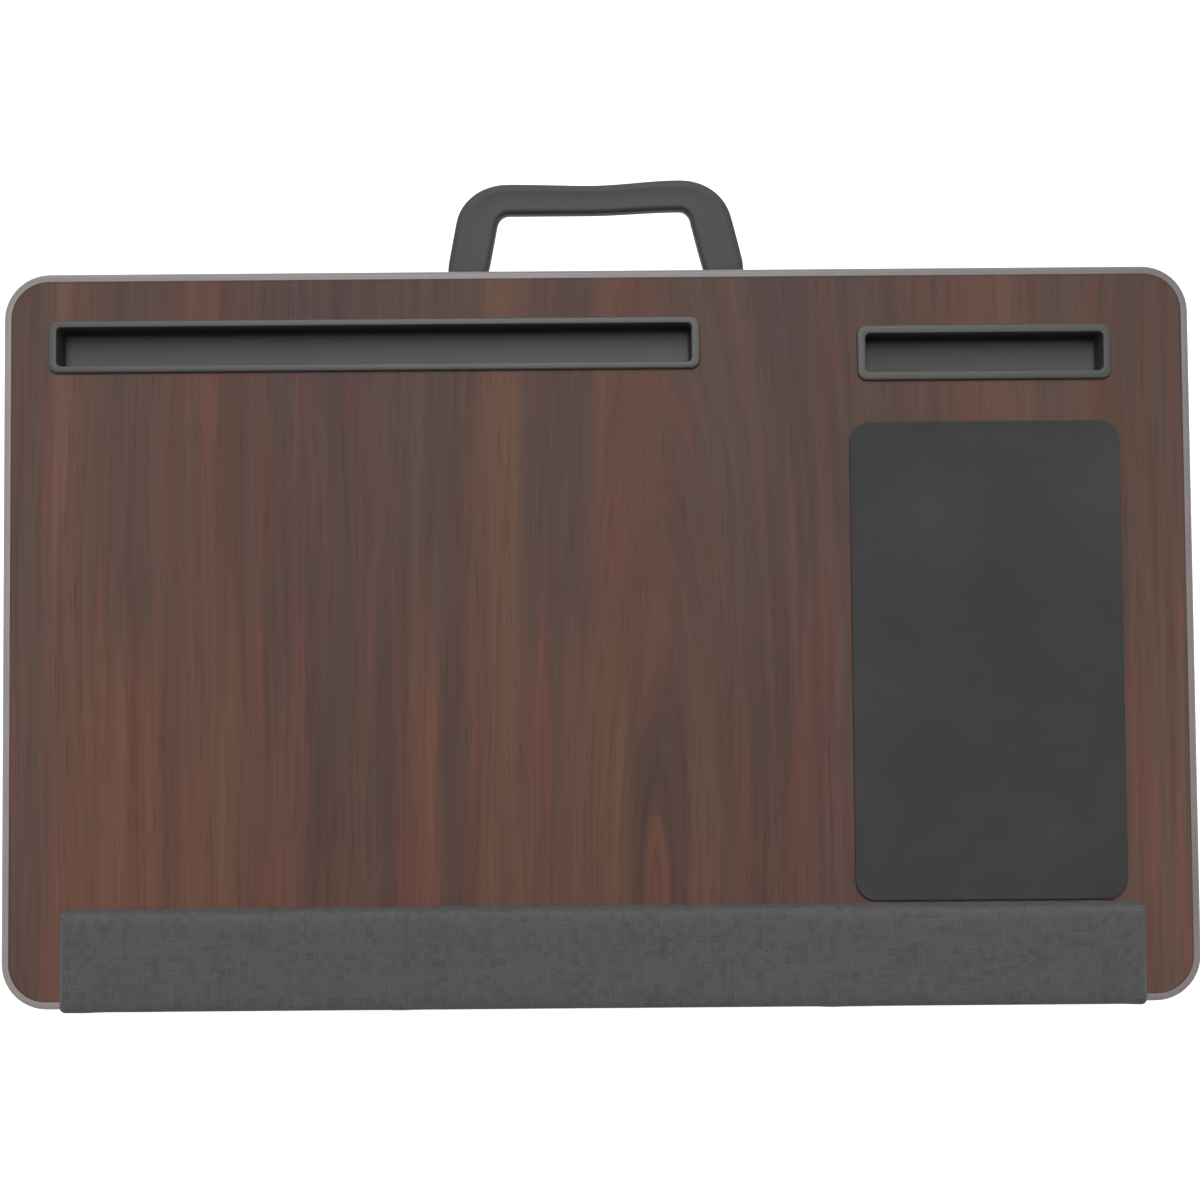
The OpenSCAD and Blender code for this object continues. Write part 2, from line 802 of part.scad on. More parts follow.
module handle_bracket_right() {
    color([0.14, 0.14, 0.14]) placed() at_handle() translate([pivot_x, 0, 0]) bracket();
}

// A rivet pin whose head lies on the outer ear. "side" is -1 on the left.
module hinge_pin(side) {
    translate([0, -pivot_in, 0]) {
        rod_x(pin_r, pin_l);
        translate([side * (pin_l + pin_head_t) / 2, 0, 0]) rod_x(pin_head_r, pin_head_t);
    }
}

module handle_pin_left() {
    color("silver") placed() at_handle() translate([-pivot_x, 0, 0]) hinge_pin(-1);
}

module handle_pin_right() {
    color("silver") placed() at_handle() translate([pivot_x, 0, 0]) hinge_pin(1);
}

module bracket_screws() {
    color("silver") placed() at_bracket_screws() {
        translate([0, 0, under_z - plate_t])
            cylinder(r = plate_screw_r, h = plate_t + under_lam_t + plate_screw_grip);
        translate([0, 0, under_z - plate_t - plate_head_h])
            cylinder(r = plate_head_r, h = plate_head_h);
    }
}

// Cushion

module at_cushion() {
    translate([0, cushion_y, 0]) children();
}

module strips(z) {
    placed() at_cushion()
        for (x = [-1, 0, 1])
            for (y = [-1, 1])
                translate([x * strip_x, y * strip_y, z]) sheet(strip_w, strip_d, strip_r, strip_t);
}

module hook_strips() {
    color([0.08, 0.08, 0.08]) strips(hook_z);
}

module loop_strips() {
    color([0.16, 0.16, 0.16]) strips(loop_z);
}

module cushion_panel() {
    color([0.2, 0.2, 0.2]) placed() at_cushion()
        translate([0, 0, cushion_h]) sheet(panel_w, panel_d, panel_r, panel_t);
}

module cushion_piping() {
    out = soft_gap + piping_r;
    r = panel_r + out;
    color([0.1, 0.1, 0.1]) placed() at_cushion()
        translate([0, 0, cushion_h + piping_r]) ring_profile(panel_w + 2 * out, panel_d + 2 * out, r)
            translate([r, 0]) circle(piping_r);
}

// The cushion's shape. Along X one rise, along Y two lobes with the sewn channel between
// them. A rise is [place from -1 to 1, height from 0 at the seam to 1].
function rise(a, n, m) = [soft_pow(sin(a), 2 / n), pow(max(0, cos(a)), 2 / m)];
function rise_x(steps) = [for (i = [-steps : steps]) rise(90 * i / steps, 6, 3)];
function rise_y(steps) =
    let(
        lobe = [
            for (i = [-steps : steps])
                let(r = rise(90 * i / steps, 4, 2.2))
                [0.5 - r[0] / 2, i > 0 ? channel_keep + (1 - channel_keep) * r[1] : r[1]]
        ]
    )
    concat(
        [for (i = [0 : 2 * steps]) [-lobe[i][0], lobe[i][1]]],
        [for (i = [2 * steps - 1 : -1 : 0]) lobe[i]]
    );

// One point of the cushion's surface, "in" inside the outer one
function cushion_point(u, v, in) =
    let(
        half_w = cushion_w / 2 - in,
        half_d = cushion_d / 2 - in,
        swell_x = cushion_swell * 4 * u[1] * (1 - u[1]) * v[1],
        swell_y = abs(v[0]) < 0.5 ? 0 : cushion_swell * 4 * v[1] * (1 - v[1]) * u[1],
        draw_x = cushion_draw * (1 - pow(v[0], 4)),
        draw_y = cushion_draw * (1 - pow(u[0], 8)),
        corner = cushion_corner * pow(abs(u[0] * v[0]), 7)
    )
    [
        u[0] * (half_w - draw_x - corner) + sign(u[0]) * swell_x,
        v[0] * (half_d - draw_y - corner) + sign(v[0]) * swell_y,
        cushion_h - in - (cushion_h + flat_cut - 2 * in) * u[1] * v[1]
    ];

// The cushion's body: the crowned form, with the flat that it stands on
module cushion_body(in, steps_x, steps_y) {
    us = rise_x(steps_x);
    vs = rise_y(steps_y);
    nu = len(us);
    nv = len(vs);
    points = [for (u = us) for (v = vs) cushion_point(u, v, in)];
    under = [
        for (i = [0 : nu - 2])
            for (j = [0 : nv - 2])
                let(a = i * nv + j, b = a + 1, c = a + nv, d = c + 1)
                // Each diagonal runs towards the nearest corner, so that no face lies flat there
                each (i < nu / 2 - 1) == (j < nv / 2 - 1)
                    ? [[a, d, b], [a, c, d]]
                    : [[a, c, b], [c, d, b]]
    ];
    // The seam all round, which bounds the flat top
    seam = concat(
        [for (j = [0 : nv - 1]) j],
        [for (i = [1 : nu - 1]) i * nv + nv - 1],
        [for (j = [nv - 2 : -1 : 0]) (nu - 1) * nv + j],
        [for (i = [nu - 2 : -1 : 1]) i * nv]
    );
    difference() {
        polyhedron(points, concat(under, [seam]));
        translate([0, 0, in - cushion_h / 2])
            cube([2 * cushion_w, 2 * cushion_d, cushion_h], center = true);
    }
}

// The flat facing that the zip is sewn to
module zip_facing() {
    deep = 2 * (cushion_swell + cushion_draw);
    w = zip_l + 2 * facing_edge;
    h = zip_h + 2 * facing_edge;
    translate([-w / 2, facing_y - cushion_y - deep, zip_z - h / 2]) cube([w, deep, h]);
}

module cushion_cover() {
    color([0.27, 0.27, 0.28]) placed() at_cushion() difference() {
        union() {
            cushion_body(0, 9, 6);
            zip_facing();
        }
        cushion_body(cover_t, 6, 6);
    }
}

module bead_fill() {
    color([0.92, 0.92, 0.9]) placed() at_cushion() cushion_body(cover_t + soft_gap, 6, 6);
}

// Zip

module zip_tape() {
    color([0.1, 0.1, 0.1]) placed() translate([-zip_l / 2, facing_y, zip_z - zip_h / 2])
        cube([zip_l, zip_tape_t, zip_h]);
}

// A bead along the tape with teeth that stand out of it
module zip_teeth() {
    count = floor(teeth_l / teeth_pitch);
    bead_h = teeth_h * 0.5;
    color([0.2, 0.2, 0.2]) placed() translate([0, tape_y, zip_z]) {
        translate([-teeth_l / 2, 0, -bead_h / 2]) cube([teeth_l, teeth_t * 0.6, bead_h]);
        for (i = [0 : count - 1])
            translate([(i - (count - 1) / 2) * teeth_pitch - teeth_pitch / 4, 0, -teeth_h / 2])
                cube([teeth_pitch / 2, teeth_t, teeth_h]);
    }
}

module zip_stops() {
    color("silver") placed()
        for (side = [-1, 1])
            translate([side * (teeth_l + stop_l) / 2, tape_y + teeth_t / 2, zip_z])
                cube([stop_l, teeth_t, stop_h], center = true);
}

// A plate over the teeth with a side above and below them, and the rod that holds the pull
module zip_slider() {
    side_z = slider_h / 2 - slider_t;
    color([0.6, 0.6, 0.6]) placed() translate([slider_x, 0, zip_z]) {
        translate([-slider_l / 2, slider_y, -slider_h / 2]) cube([slider_l, slider_t, slider_h]);
        for (side = [0, 1])
            mirror([0, 0, side]) {
                translate([-slider_l / 2, tape_y + slide_gap, side_z])
                    cube([slider_l, slider_y - tape_y - slide_gap, slider_t]);
                translate([-bail_r, slider_y + slider_t, bail_h / 2 + side_gap])
                    cube([2 * bail_r, bail_y + bail_r - slider_y - slider_t, slider_t]);
            }
        translate([0, bail_y, 0])
            cylinder(r = bail_r, h = bail_h + 2 * side_gap + slider_t, center = true);
    }
}

module zip_pull() {
    color([0.6, 0.6, 0.6]) placed() translate([slider_x, bail_y, zip_z]) difference() {
        union() {
            cylinder(r = pull_eye_r, h = bail_h, center = true);
            translate([-pull_l / 2, 0, 0]) cube([pull_l, pull_t, bail_h], center = true);
            translate([-pull_l + pull_h / 2, 0, 0]) rotate([90, 0, 0])
                linear_extrude(pull_t, center = true) {
                    circle(pull_h / 2);
                    translate([pull_l / 4, 0]) square([pull_l / 2, pull_h * 0.8], center = true);
                }
        }
        cylinder(r = bail_r + run_gap, h = bail_h + 2 * past, center = true);
    }
}

board_core();
top_laminate();
under_laminate();
edge_band();
tablet_tray();
phone_tray();
mouse_pad_sheet();
mouse_pad_base();
wrist_rest_cover();
wrist_rest_foam();
wrist_rest_base();
wrist_rest_screws();
handle_grip();
handle_spine();
handle_bracket_left();
handle_bracket_right();
handle_pin_left();
handle_pin_right();
bracket_screws();
hook_strips();
loop_strips();
cushion_panel();
cushion_piping();
cushion_cover();
bead_fill();
zip_tape();
zip_teeth();
zip_stops();
zip_slider();
zip_pull();
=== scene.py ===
import json
import math

import bmesh
import bpy
import numpy as np
from mathutils import Matrix, Vector
from mathutils.bvhtree import BVHTree

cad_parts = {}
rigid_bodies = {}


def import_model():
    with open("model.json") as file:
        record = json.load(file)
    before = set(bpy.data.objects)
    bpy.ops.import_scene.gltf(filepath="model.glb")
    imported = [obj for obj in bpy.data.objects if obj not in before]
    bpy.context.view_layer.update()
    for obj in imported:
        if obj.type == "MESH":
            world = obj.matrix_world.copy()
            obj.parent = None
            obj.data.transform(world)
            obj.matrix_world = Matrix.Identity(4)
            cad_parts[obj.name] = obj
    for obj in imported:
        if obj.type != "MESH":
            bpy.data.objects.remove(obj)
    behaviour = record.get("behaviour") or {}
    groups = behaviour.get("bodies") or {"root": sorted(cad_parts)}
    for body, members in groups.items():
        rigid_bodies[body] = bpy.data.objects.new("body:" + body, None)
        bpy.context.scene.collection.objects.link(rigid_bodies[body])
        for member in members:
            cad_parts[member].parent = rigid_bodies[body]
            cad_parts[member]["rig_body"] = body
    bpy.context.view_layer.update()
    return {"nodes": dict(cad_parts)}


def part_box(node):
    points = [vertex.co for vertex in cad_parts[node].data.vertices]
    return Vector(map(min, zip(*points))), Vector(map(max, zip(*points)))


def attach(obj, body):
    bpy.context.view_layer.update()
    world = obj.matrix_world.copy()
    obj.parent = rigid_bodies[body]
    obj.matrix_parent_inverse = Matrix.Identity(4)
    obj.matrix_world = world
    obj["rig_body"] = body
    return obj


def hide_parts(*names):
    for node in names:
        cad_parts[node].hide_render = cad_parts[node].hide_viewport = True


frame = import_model()
print("frame loaded:", len(frame["nodes"]), "nodes")

mm = 0.001
scene = bpy.context.scene
bandLow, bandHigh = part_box("edge_band")
boardCentre = (bandLow + bandHigh) / 2
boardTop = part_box("top_laminate")[1].z
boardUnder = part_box("under_laminate")[0].z
rearEdge = bandHigh.y


viewpoint = {
    "right": 0.1, "back": -7.26, "above": 750,     # from the middle of the board's top, mm
    "lens": 44.75, "tilt": 1.894, "pan": -0.0535, "roll": -0.4617,
}


def placeObject(name, data):
    thing = bpy.data.objects.new(name, data)
    scene.collection.objects.link(thing)
    return thing


def makeCamera():
    camera = placeObject("camera", bpy.data.cameras.new("camera"))
    camera.data.sensor_fit = "HORIZONTAL"
    camera.data.sensor_width = 36
    camera.data.lens = viewpoint["lens"]
    camera.data.clip_start = 0.05
    camera.data.clip_end = 50
    place = Vector((viewpoint["right"], viewpoint["back"], viewpoint["above"])) * mm
    stand = Vector((boardCentre.x, boardCentre.y, boardTop)) + place
    turn = Matrix.Identity(4)
    for axis, angle in (("X", "tilt"), ("Y", "pan"), ("Z", "roll")):
        turn = turn @ Matrix.Rotation(math.radians(viewpoint[angle]), 4, axis)
    camera.matrix_world = Matrix.Translation(stand) @ turn
    scene.camera = camera


makeCamera()
print("camera set")


def srgb(red, green, blue):
    # a screen colour from 0 to 255 as the linear colour that shaders want
    def linear(level):
        level /= 255
        return level / 12.92 if level <= 0.04045 else ((level + 0.055) / 1.055) ** 2.4
    return linear(red), linear(green), linear(blue), 1


def grey(level):
    return srgb(level, level, level)


def put(tree, kind, inputs=None, **settings):
    # adds a node; an input is either a value or the socket that feeds it
    node = tree.nodes.new(kind)
    for name, value in settings.items():
        setattr(node, name, value)
    for name, value in (inputs or {}).items():
        if isinstance(value, bpy.types.NodeSocket):
            tree.links.new(value, node.inputs[name])
        else:
            node.inputs[name].default_value = value
    return node


def calc(tree, operation, *values):
    return put(tree, "ShaderNodeMath", dict(enumerate(values)), operation=operation).outputs[0]


def plus(tree, first, second):
    return calc(tree, "ADD", first, second)


def minus(tree, first, second):
    return calc(tree, "SUBTRACT", first, second)


def times(tree, first, second):
    return calc(tree, "MULTIPLY", first, second)


def axes(tree, vector):
    return put(tree, "ShaderNodeSeparateXYZ", {0: vector}).outputs[:]


def joined(tree, x, y, z):
    return put(tree, "ShaderNodeCombineXYZ", {0: x, 1: y, 2: z}).outputs[0]


def blendColour(tree, factor, first, second, mode="MIX"):
    inputs = {0: factor, 6: first, 7: second}
    return put(tree, "ShaderNodeMix", inputs, data_type="RGBA", blend_type=mode).outputs[2]


def shaded(tree, colour, shade):
    return blendColour(tree, 1.0, colour, shade, "MULTIPLY")


def scaled(colour, share):
    return tuple(min(1, part * share) for part in colour[:3]) + (1,)


def remap(tree, value, low, high, newLow=0.0, newHigh=1.0):
    inputs = {"Value": value, "From Min": low, "From Max": high,
              "To Min": newLow, "To Max": newHigh}
    return put(tree, "ShaderNodeMapRange", inputs).outputs["Result"]


def stretched(tree, vector, scale):
    return put(tree, "ShaderNodeMapping", {"Vector": vector, "Scale": scale}).outputs["Vector"]


def noiseAt(tree, vector, scale=1.0, detail=2.0, roughness=0.5):
    inputs = {"Vector": vector, "Scale": scale, "Detail": detail, "Roughness": roughness}
    return put(tree, "ShaderNodeTexNoise", inputs).outputs["Fac"]


def startMaterial(name, colour, roughness, specular=0.4):
    material = bpy.data.materials.new(name)
    material.use_nodes = True
    tree = material.node_tree
    shader = tree.nodes["Principled BSDF"]
    shader.inputs["Base Color"].default_value = colour
    shader.inputs["Roughness"].default_value = roughness
    shader.inputs["Specular IOR Level"].default_value = specular
    material.diffuse_color = colour
    return material, tree, shader


def objectPoint(tree):
    return put(tree, "ShaderNodeTexCoord").outputs["Object"]


def uvPoint(tree):
    return put(tree, "ShaderNodeUVMap", uv_map="cloth").outputs["UV"]


def feed(shader, name, value):
    shader.id_data.links.new(value, shader.inputs[name])


def bumpInto(shader, height, depth, strength=1.0):
    inputs = {"Height": height, "Distance": depth, "Strength": strength}
    feed(shader, "Normal", put(shader.id_data, "ShaderNodeBump", inputs).outputs["Normal"])


def useGroup(tree, group, inputs):
    return put(tree, "ShaderNodeGroup", inputs, node_tree=group)


def startGroup(name, inputs, outputs):
    group = bpy.data.node_groups.new(name, "ShaderNodeTree")
    for label, value in inputs.items():
        kind = "NodeSocketVector" if value is None else "NodeSocketFloat"
        socket = group.interface.new_socket(name=label, in_out="INPUT", socket_type=kind)
        if value is not None:
            socket.default_value = value
    for label in outputs:
        group.interface.new_socket(name=label, in_out="OUTPUT", socket_type="NodeSocketFloat")
    entry = group.nodes.new("NodeGroupInput")
    result = group.nodes.new("NodeGroupOutput")
    return group, entry.outputs, result.inputs


def makeWeaveGroup():
    # plain weave of mixed yarn: each thread changes its tone every few crossings
    group, given, result = startGroup(
        "plainWeave", {"Vector": None, "Pitch": 0.001, "Run": 4.0}, ("Tone", "Height"))
    split = axes(group, given["Vector"])
    across, along = (calc(group, "DIVIDE", part, given["Pitch"]) for part in split[:2])
    column, row = (calc(group, "FLOOR", part) for part in (across, along))
    over = calc(group, "FLOORED_MODULO", plus(group, column, row), 2.0)

    def whiteNoise(dimensions, inputs):
        node = put(group, "ShaderNodeTexWhiteNoise", inputs, noise_dimensions=dimensions)
        return node.outputs["Value"]

    def threadTone(thread, distance, seed):
        shift = whiteNoise("1D", {"W": plus(group, thread, seed)})
        runs = plus(group, calc(group, "DIVIDE", distance, given["Run"]), shift)
        return whiteNoise("3D", {"Vector": joined(group, thread, calc(group, "FLOOR", runs), seed)})

    def threadHeight(position):
        part = minus(group, calc(group, "FRACT", position), 0.5)
        return calc(group, "COSINE", times(group, part, math.pi))

    def onTop(upright, lying):
        return put(group, "ShaderNodeMix", {0: over, 2: upright, 3: lying}).outputs[0]

    domes = onTop(threadHeight(across), threadHeight(along))
    ends = onTop(threadHeight(along), threadHeight(across))
    height = times(group, calc(group, "POWER", domes, 0.6), calc(group, "POWER", ends, 0.35))
    tone = onTop(threadTone(column, along, 3.0), threadTone(row, across, 11.0))
    group.links.new(tone, result["Tone"])
    group.links.new(height, result["Height"])
    return group


def makeMouldGroup():
    # spark-eroded mould texture with faint cloudy patches, for plastics and rubbers
    group, given, result = startGroup(
        "mouldTexture", {"Vector": None, "Grain": 2200.0, "Clouds": 18.0}, ("Height", "Patches"))
    grain = noiseAt(group, given["Vector"], given["Grain"], 2.0, 0.6)
    clouds = noiseAt(group, given["Vector"], given["Clouds"], 3.0, 0.55)
    group.links.new(grain, result["Height"])
    group.links.new(remap(group, clouds, 0.3, 0.7), result["Patches"])
    return group


plainWeave = makeWeaveGroup()
mouldTexture = makeMouldGroup()


walnut = {
    "base": srgb(97, 73, 64), "warm": srgb(108, 75, 63), "honey": srgb(111, 80, 64),
    "pale": srgb(108, 80, 69), "grey": srgb(92, 73, 66), "plum": srgb(90, 69, 66),
    "dark": srgb(86, 66, 60), "dusk": srgb(90, 69, 63), "red": srgb(113, 72, 62),
    "olive": srgb(96, 76, 66), "pore": srgb(52, 38, 32),
    # painted shade and painted light over all the tints at once: darker at the back than in front,
    # and lighter towards the board's ends
    "rearPaintedShade": (0.82, 0.82, 0.84, 1), "frontPaintedShade": (1.0, 0.98, 0.98, 1),
    "leftPaintedLight": 1.11, "rightPaintedLight": 1.12,
    # broad tints from left to right, mm from the middle of the board, at the back and in front; the
    # darker tints in the middle of the back are partly wood tone and partly painted shade
    "rearTints": [
        (-300, "grey"), (-282, "grey"), (-272, "pale"), (-262, "pale"), (-250, "base"),
        (-226, "grey"), (-214, "pale"), (-190, "warm"), (-172, "base"), (-158, "plum"),
        (-120, "plum"), (-108, "base"), (-74, "grey"), (-60, "base"), (-54, "honey"),
        (-42, "honey"), (-36, "dusk"), (-8, "dusk"), (0, "warm"), (26, "warm"), (38, "base"),
        (70, "grey"), (90, "plum"), (130, "grey"), (170, "base"), (205, "pale"), (235, "grey"),
        (258, "base"), (284, "olive"), (300, "grey")],
    "frontTints": [
        (-300, "plum"), (-284, "grey"), (-276, "warm"), (-262, "honey"), (-236, "warm"),
        (-200, "honey"), (-158, "warm"), (-148, "dark"), (-104, "dark"), (-98, "warm"),
        (-82, "warm"), (-78, "dusk"), (-68, "dusk"), (-62, "warm"), (-46, "honey"), (-34, "warm"),
        (-18, "base"), (-4, "warm"), (13, "honey"), (19, "dark"), (42, "dusk"), (49, "base"),
        (60, "base"), (74, "dusk"), (80, "dark"), (93, "dark"), (102, "dusk"), (126, "plum"),
        (200, "base"), (270, "olive"), (300, "olive")],
    "meet": -12, "meetSpread": 26, "meetRagged": 220,    # where they meet, streak by streak
    # narrower streaks: tint, noise, where it starts and is full, and how strong it is
    "streaks": [
        ("plum", (40, 2.6, 8, 2, 7), 0.5, 0.62, 0.35),
        ("olive", (75, 2.6, 12, 2, 19), 0.5, 0.62, 0.35),
        ("red", (85, 5.0, 14, 3, 31), 0.5, 0.62, 0.45),
        ("dark", (130, 3.6, 16, 3, 43), 0.52, 0.66, 0.4)],
    "sway": 12, "flow": 6,    # how far the grain wanders, broadly and finely, mm
    # the figure: its middle, how slim it is, its rings, and how far they reach and are full, mm
    "figureAt": (30, -130), "figureSlim": 0.13, "ringPitch": 6.8, "figureReach": (22, 5),
    "knot": (6.5, 4.5), "knotLine": (7.8, 1.2),
    "outline": (296, 181, 19), "seam": (1.4, 0.6),    # half its size, its corners, its seam, mm
}


def makeWalnut():
    material, tree, shader = startMaterial("walnutLaminate", walnut["base"], 0.5, 0.15)
    fromMiddle = {"Vector": objectPoint(tree), "Location": (-boardCentre.x, -boardCentre.y, 0)}
    point = put(tree, "ShaderNodeMapping", fromMiddle).outputs[0]
    x, y = axes(tree, point)[:2]

    def wander(scale, detail, reach):
        noise = noiseAt(tree, stretched(tree, point, scale), detail=detail)
        return times(tree, minus(tree, noise, 0.5), reach * mm)

    # the grain runs along Y, sways a little, and opens round one flat-sawn figure
    bentX = plus(tree, x, wander((5, 2.2, 1), 1, walnut["sway"]))
    bentX = plus(tree, bentX, wander((28, 6, 1), 2, walnut["flow"]))
    figureX, figureY = (place * mm for place in walnut["figureAt"])
    sideways = minus(tree, bentX, figureX)
    lengthways = times(tree, minus(tree, y, figureY), walnut["figureSlim"])
    squares = plus(tree, calc(tree, "POWER", sideways, 2.0), calc(tree, "POWER", lengthways, 2.0))
    ring = calc(tree, "SQRT", squares)

    def grainNoise(acrossScale, alongScale, sideScale, detail, seed):
        place = joined(tree, times(tree, ring, acrossScale), times(tree, y, alongScale),
                       calc(tree, "MULTIPLY_ADD", x, sideScale, seed))
        return noiseAt(tree, place, detail=detail, roughness=0.6)

    def tintRamp(tints):
        ramp = put(tree, "ShaderNodeValToRGB", {0: remap(tree, bentX, -0.3, 0.3)})
        stops = ramp.color_ramp.elements
        stops.remove(stops[1])
        stops[0].color = walnut[tints[0][1]]
        for place, tint in tints[1:]:
            stops.new(place / 600 + 0.5).color = walnut[tint]
        return ramp.outputs[0]

    # broad tints, which change from the back to the front at a ragged line
    ragged = times(tree, minus(tree, grainNoise(95, 1.0, 30, 2, 5), 0.5), walnut["meetRagged"] * mm)
    meet, spread = walnut["meet"] * mm, walnut["meetSpread"] * mm
    backwards = remap(tree, plus(tree, y, ragged), meet - spread, meet + spread)
    frontTints, rearTints = tintRamp(walnut["frontTints"]), tintRamp(walnut["rearTints"])
    colour = blendColour(tree, backwards, frontTints, rearTints)
    for tint, noise, low, high, amount in walnut["streaks"]:
        mask = times(tree, remap(tree, grainNoise(*noise), low, high), amount)
        colour = blendColour(tree, mask, colour, walnut[tint])

    # growth lines, broad to fine, and arches round the figure
    fine = grainNoise(560, 9, 50, 2, 57)
    shade = remap(tree, fine, 0.3, 0.7, 0.93, 1.07)
    for noise, depth in (((60, 2.4, 9, 3, 3), 0.07), ((190, 5, 22, 3, 11), 0.11)):
        shade = times(tree, shade, remap(tree, grainNoise(*noise), 0.3, 0.7, 1 - depth, 1 + depth))
    rings = calc(tree, "SINE", times(tree, ring, 2 * math.pi / (walnut["ringPitch"] * mm)))
    near = remap(tree, ring, *(reach * mm for reach in walnut["figureReach"]))
    arches = times(tree, remap(tree, rings, 0.0, 1), times(tree, near, 0.1))
    shade = times(tree, shade, minus(tree, 1.0, arches))
    knot = times(tree, remap(tree, ring, *(reach * mm for reach in walnut["knot"])), 0.8)
    colour = blendColour(tree, knot, colour, walnut["warm"])
    lineAt, lineWide = (value * mm for value in walnut["knotLine"])
    offLine = calc(tree, "ABSOLUTE", minus(tree, ring, lineAt))
    shade = times(tree, shade, remap(tree, offLine, 0.0, lineWide, 0.9, 1.0))
    pores = noiseAt(tree, stretched(tree, point, (1500, 26, 1)), detail=1, roughness=0.5)
    poreMask = remap(tree, pores, 0.6, 0.74)
    colour = blendColour(tree, times(tree, poreMask, 0.3), colour, walnut["pore"])

    # a dark seam where the laminate meets the edge band
    halfWide, halfDeep, corner = (value * mm for value in walnut["outline"])
    outX = minus(tree, calc(tree, "ABSOLUTE", x), halfWide - corner)
    outY = minus(tree, calc(tree, "ABSOLUTE", y), halfDeep - corner)
    beyond = joined(tree, calc(tree, "MAXIMUM", outX, 0.0), calc(tree, "MAXIMUM", outY, 0.0), 0.0)
    reach = put(tree, "ShaderNodeVectorMath", {0: beyond}, operation="LENGTH").outputs["Value"]
    inwards = calc(tree, "MINIMUM", calc(tree, "MAXIMUM", outX, outY), 0.0)
    seamFrom, seamTo = (corner - value * mm for value in walnut["seam"])
    shade = times(tree, shade, remap(tree, plus(tree, reach, inwards), seamFrom, seamTo, 1.0, 0.86))

    # painted light and shade: the board's ends lighter, and its back darker than its front
    shade = times(tree, shade, remap(tree, x, -0.3, -0.17, walnut["leftPaintedLight"], 1.0))
    shade = times(tree, shade, remap(tree, x, 0.02, 0.3, 1.0, walnut["rightPaintedLight"]))
    backwards = remap(tree, y, -0.12, 0.175)
    level = blendColour(tree, backwards, walnut["frontPaintedShade"], walnut["rearPaintedShade"])
    feed(shader, "Base Color", shaded(tree, shaded(tree, colour, shade), level))
    feed(shader, "Roughness", remap(tree, fine, 0.3, 0.7, 0.46, 0.56))
    bumpInto(shader, minus(tree, 1.0, poreMask), 0.00006, 0.5)
    return material


def mouldedAt(tree, **values):
    texture = useGroup(tree, mouldTexture, {"Vector": objectPoint(tree), **values})
    return texture.outputs["Patches"], texture.outputs["Height"]


def makeMoulded(name, colour, roughness, depth=0.00004, grain=2200.0, mottle=0.08, specular=0.4,
                clouds=18.0):
    material, tree, shader = startMaterial(name, colour, roughness, specular)
    patches, height = mouldedAt(tree, Grain=grain, Clouds=clouds)
    mottled = blendColour(tree, patches, scaled(colour, 1 - mottle), scaled(colour, 1 + mottle))
    feed(shader, "Base Color", mottled)
    feed(shader, "Roughness", remap(tree, patches, 0, 1, roughness - 0.04, roughness + 0.04))
    bumpInto(shader, height, depth, 0.6)
    return material


def makeCloth(name, dark, light, pitch, run, depth, contrast=1.0, slub=0.0, paintedThreadShade=0.28,
              cloud=0.055):
    # slub: how much the yarn's thicker, darker stretches show; cloud: how uneven its dye is
    # paintedThreadShade: painted shade, how much darker the gaps between threads are painted
    material, tree, shader = startMaterial(name, light, 0.9, 0.2)
    point = uvPoint(tree)
    weave = useGroup(tree, plainWeave, {"Vector": point, "Pitch": pitch, "Run": run})
    slubs = useGroup(tree, plainWeave, {"Vector": point, "Pitch": pitch * 3, "Run": run * 0.6})
    dye = noiseAt(tree, objectPoint(tree), 35, 3)
    tone = times(tree, remap(tree, weave.outputs["Tone"], 0, 0.8), contrast)
    # painted shade in the gaps between threads, and a faint painted highlight on their tops
    shade = remap(tree, weave.outputs["Height"], 0, 1, 1 - paintedThreadShade, 1.04)
    shade = times(tree, shade, remap(tree, dye, 0.3, 0.7, 1 - cloud, 1 + cloud))
    shade = times(tree, shade, remap(tree, slubs.outputs["Tone"], 0, 0.5, 1 - slub, 1 + slub * 0.2))
    feed(shader, "Base Color", shaded(tree, blendColour(tree, tone, dark, light), shade))
    shader.inputs["Sheen Weight"].default_value = 0.3
    shader.inputs["Sheen Roughness"].default_value = 0.6
    shader.inputs["Sheen Tint"].default_value = light
    bumpInto(shader, weave.outputs["Height"], depth, 0.8)
    return material


def makeTwill(name, colour, pitch, depth):
    # narrow woven goods: slanting ribs read straight from the object's own place
    material, tree, shader = startMaterial(name, colour, 0.85, 0.2)
    x, y, z = axes(tree, objectPoint(tree))
    slant = plus(tree, x, plus(tree, y, z))
    cross = minus(tree, x, minus(tree, z, y))
    ribs, knots = (calc(tree, "SINE", times(tree, way, 2 * math.pi / pitch))
                   for way in (slant, cross))
    height = calc(tree, "MULTIPLY_ADD", knots, 0.3, ribs)
    # painted shade in the grooves between ribs and a painted highlight on their crests
    shade = remap(tree, height, -1.3, 1.3, 0.6, 1.15)
    feed(shader, "Base Color", shaded(tree, colour, shade))
    shader.inputs["Sheen Weight"].default_value = 0.2
    bumpInto(shader, height, depth, 0.7)
    return material


def makePile(name, colour, scale, depth):
    # hook and loop: a dense fuzzy nap
    material, tree, shader = startMaterial(name, colour, 0.95, 0.1)
    inputs = {"Vector": objectPoint(tree), "Scale": scale}
    nap = put(tree, "ShaderNodeTexVoronoi", inputs).outputs["Distance"]
    # painted shade: the nap darker in the hollows between its tufts, and lighter on them
    feed(shader, "Base Color", shaded(tree, colour, remap(tree, nap, 0, 0.7, 1.4, 0.45)))
    shader.inputs["Sheen Weight"].default_value = 0.4
    bumpInto(shader, minus(tree, 1.0, nap), depth)
    return material


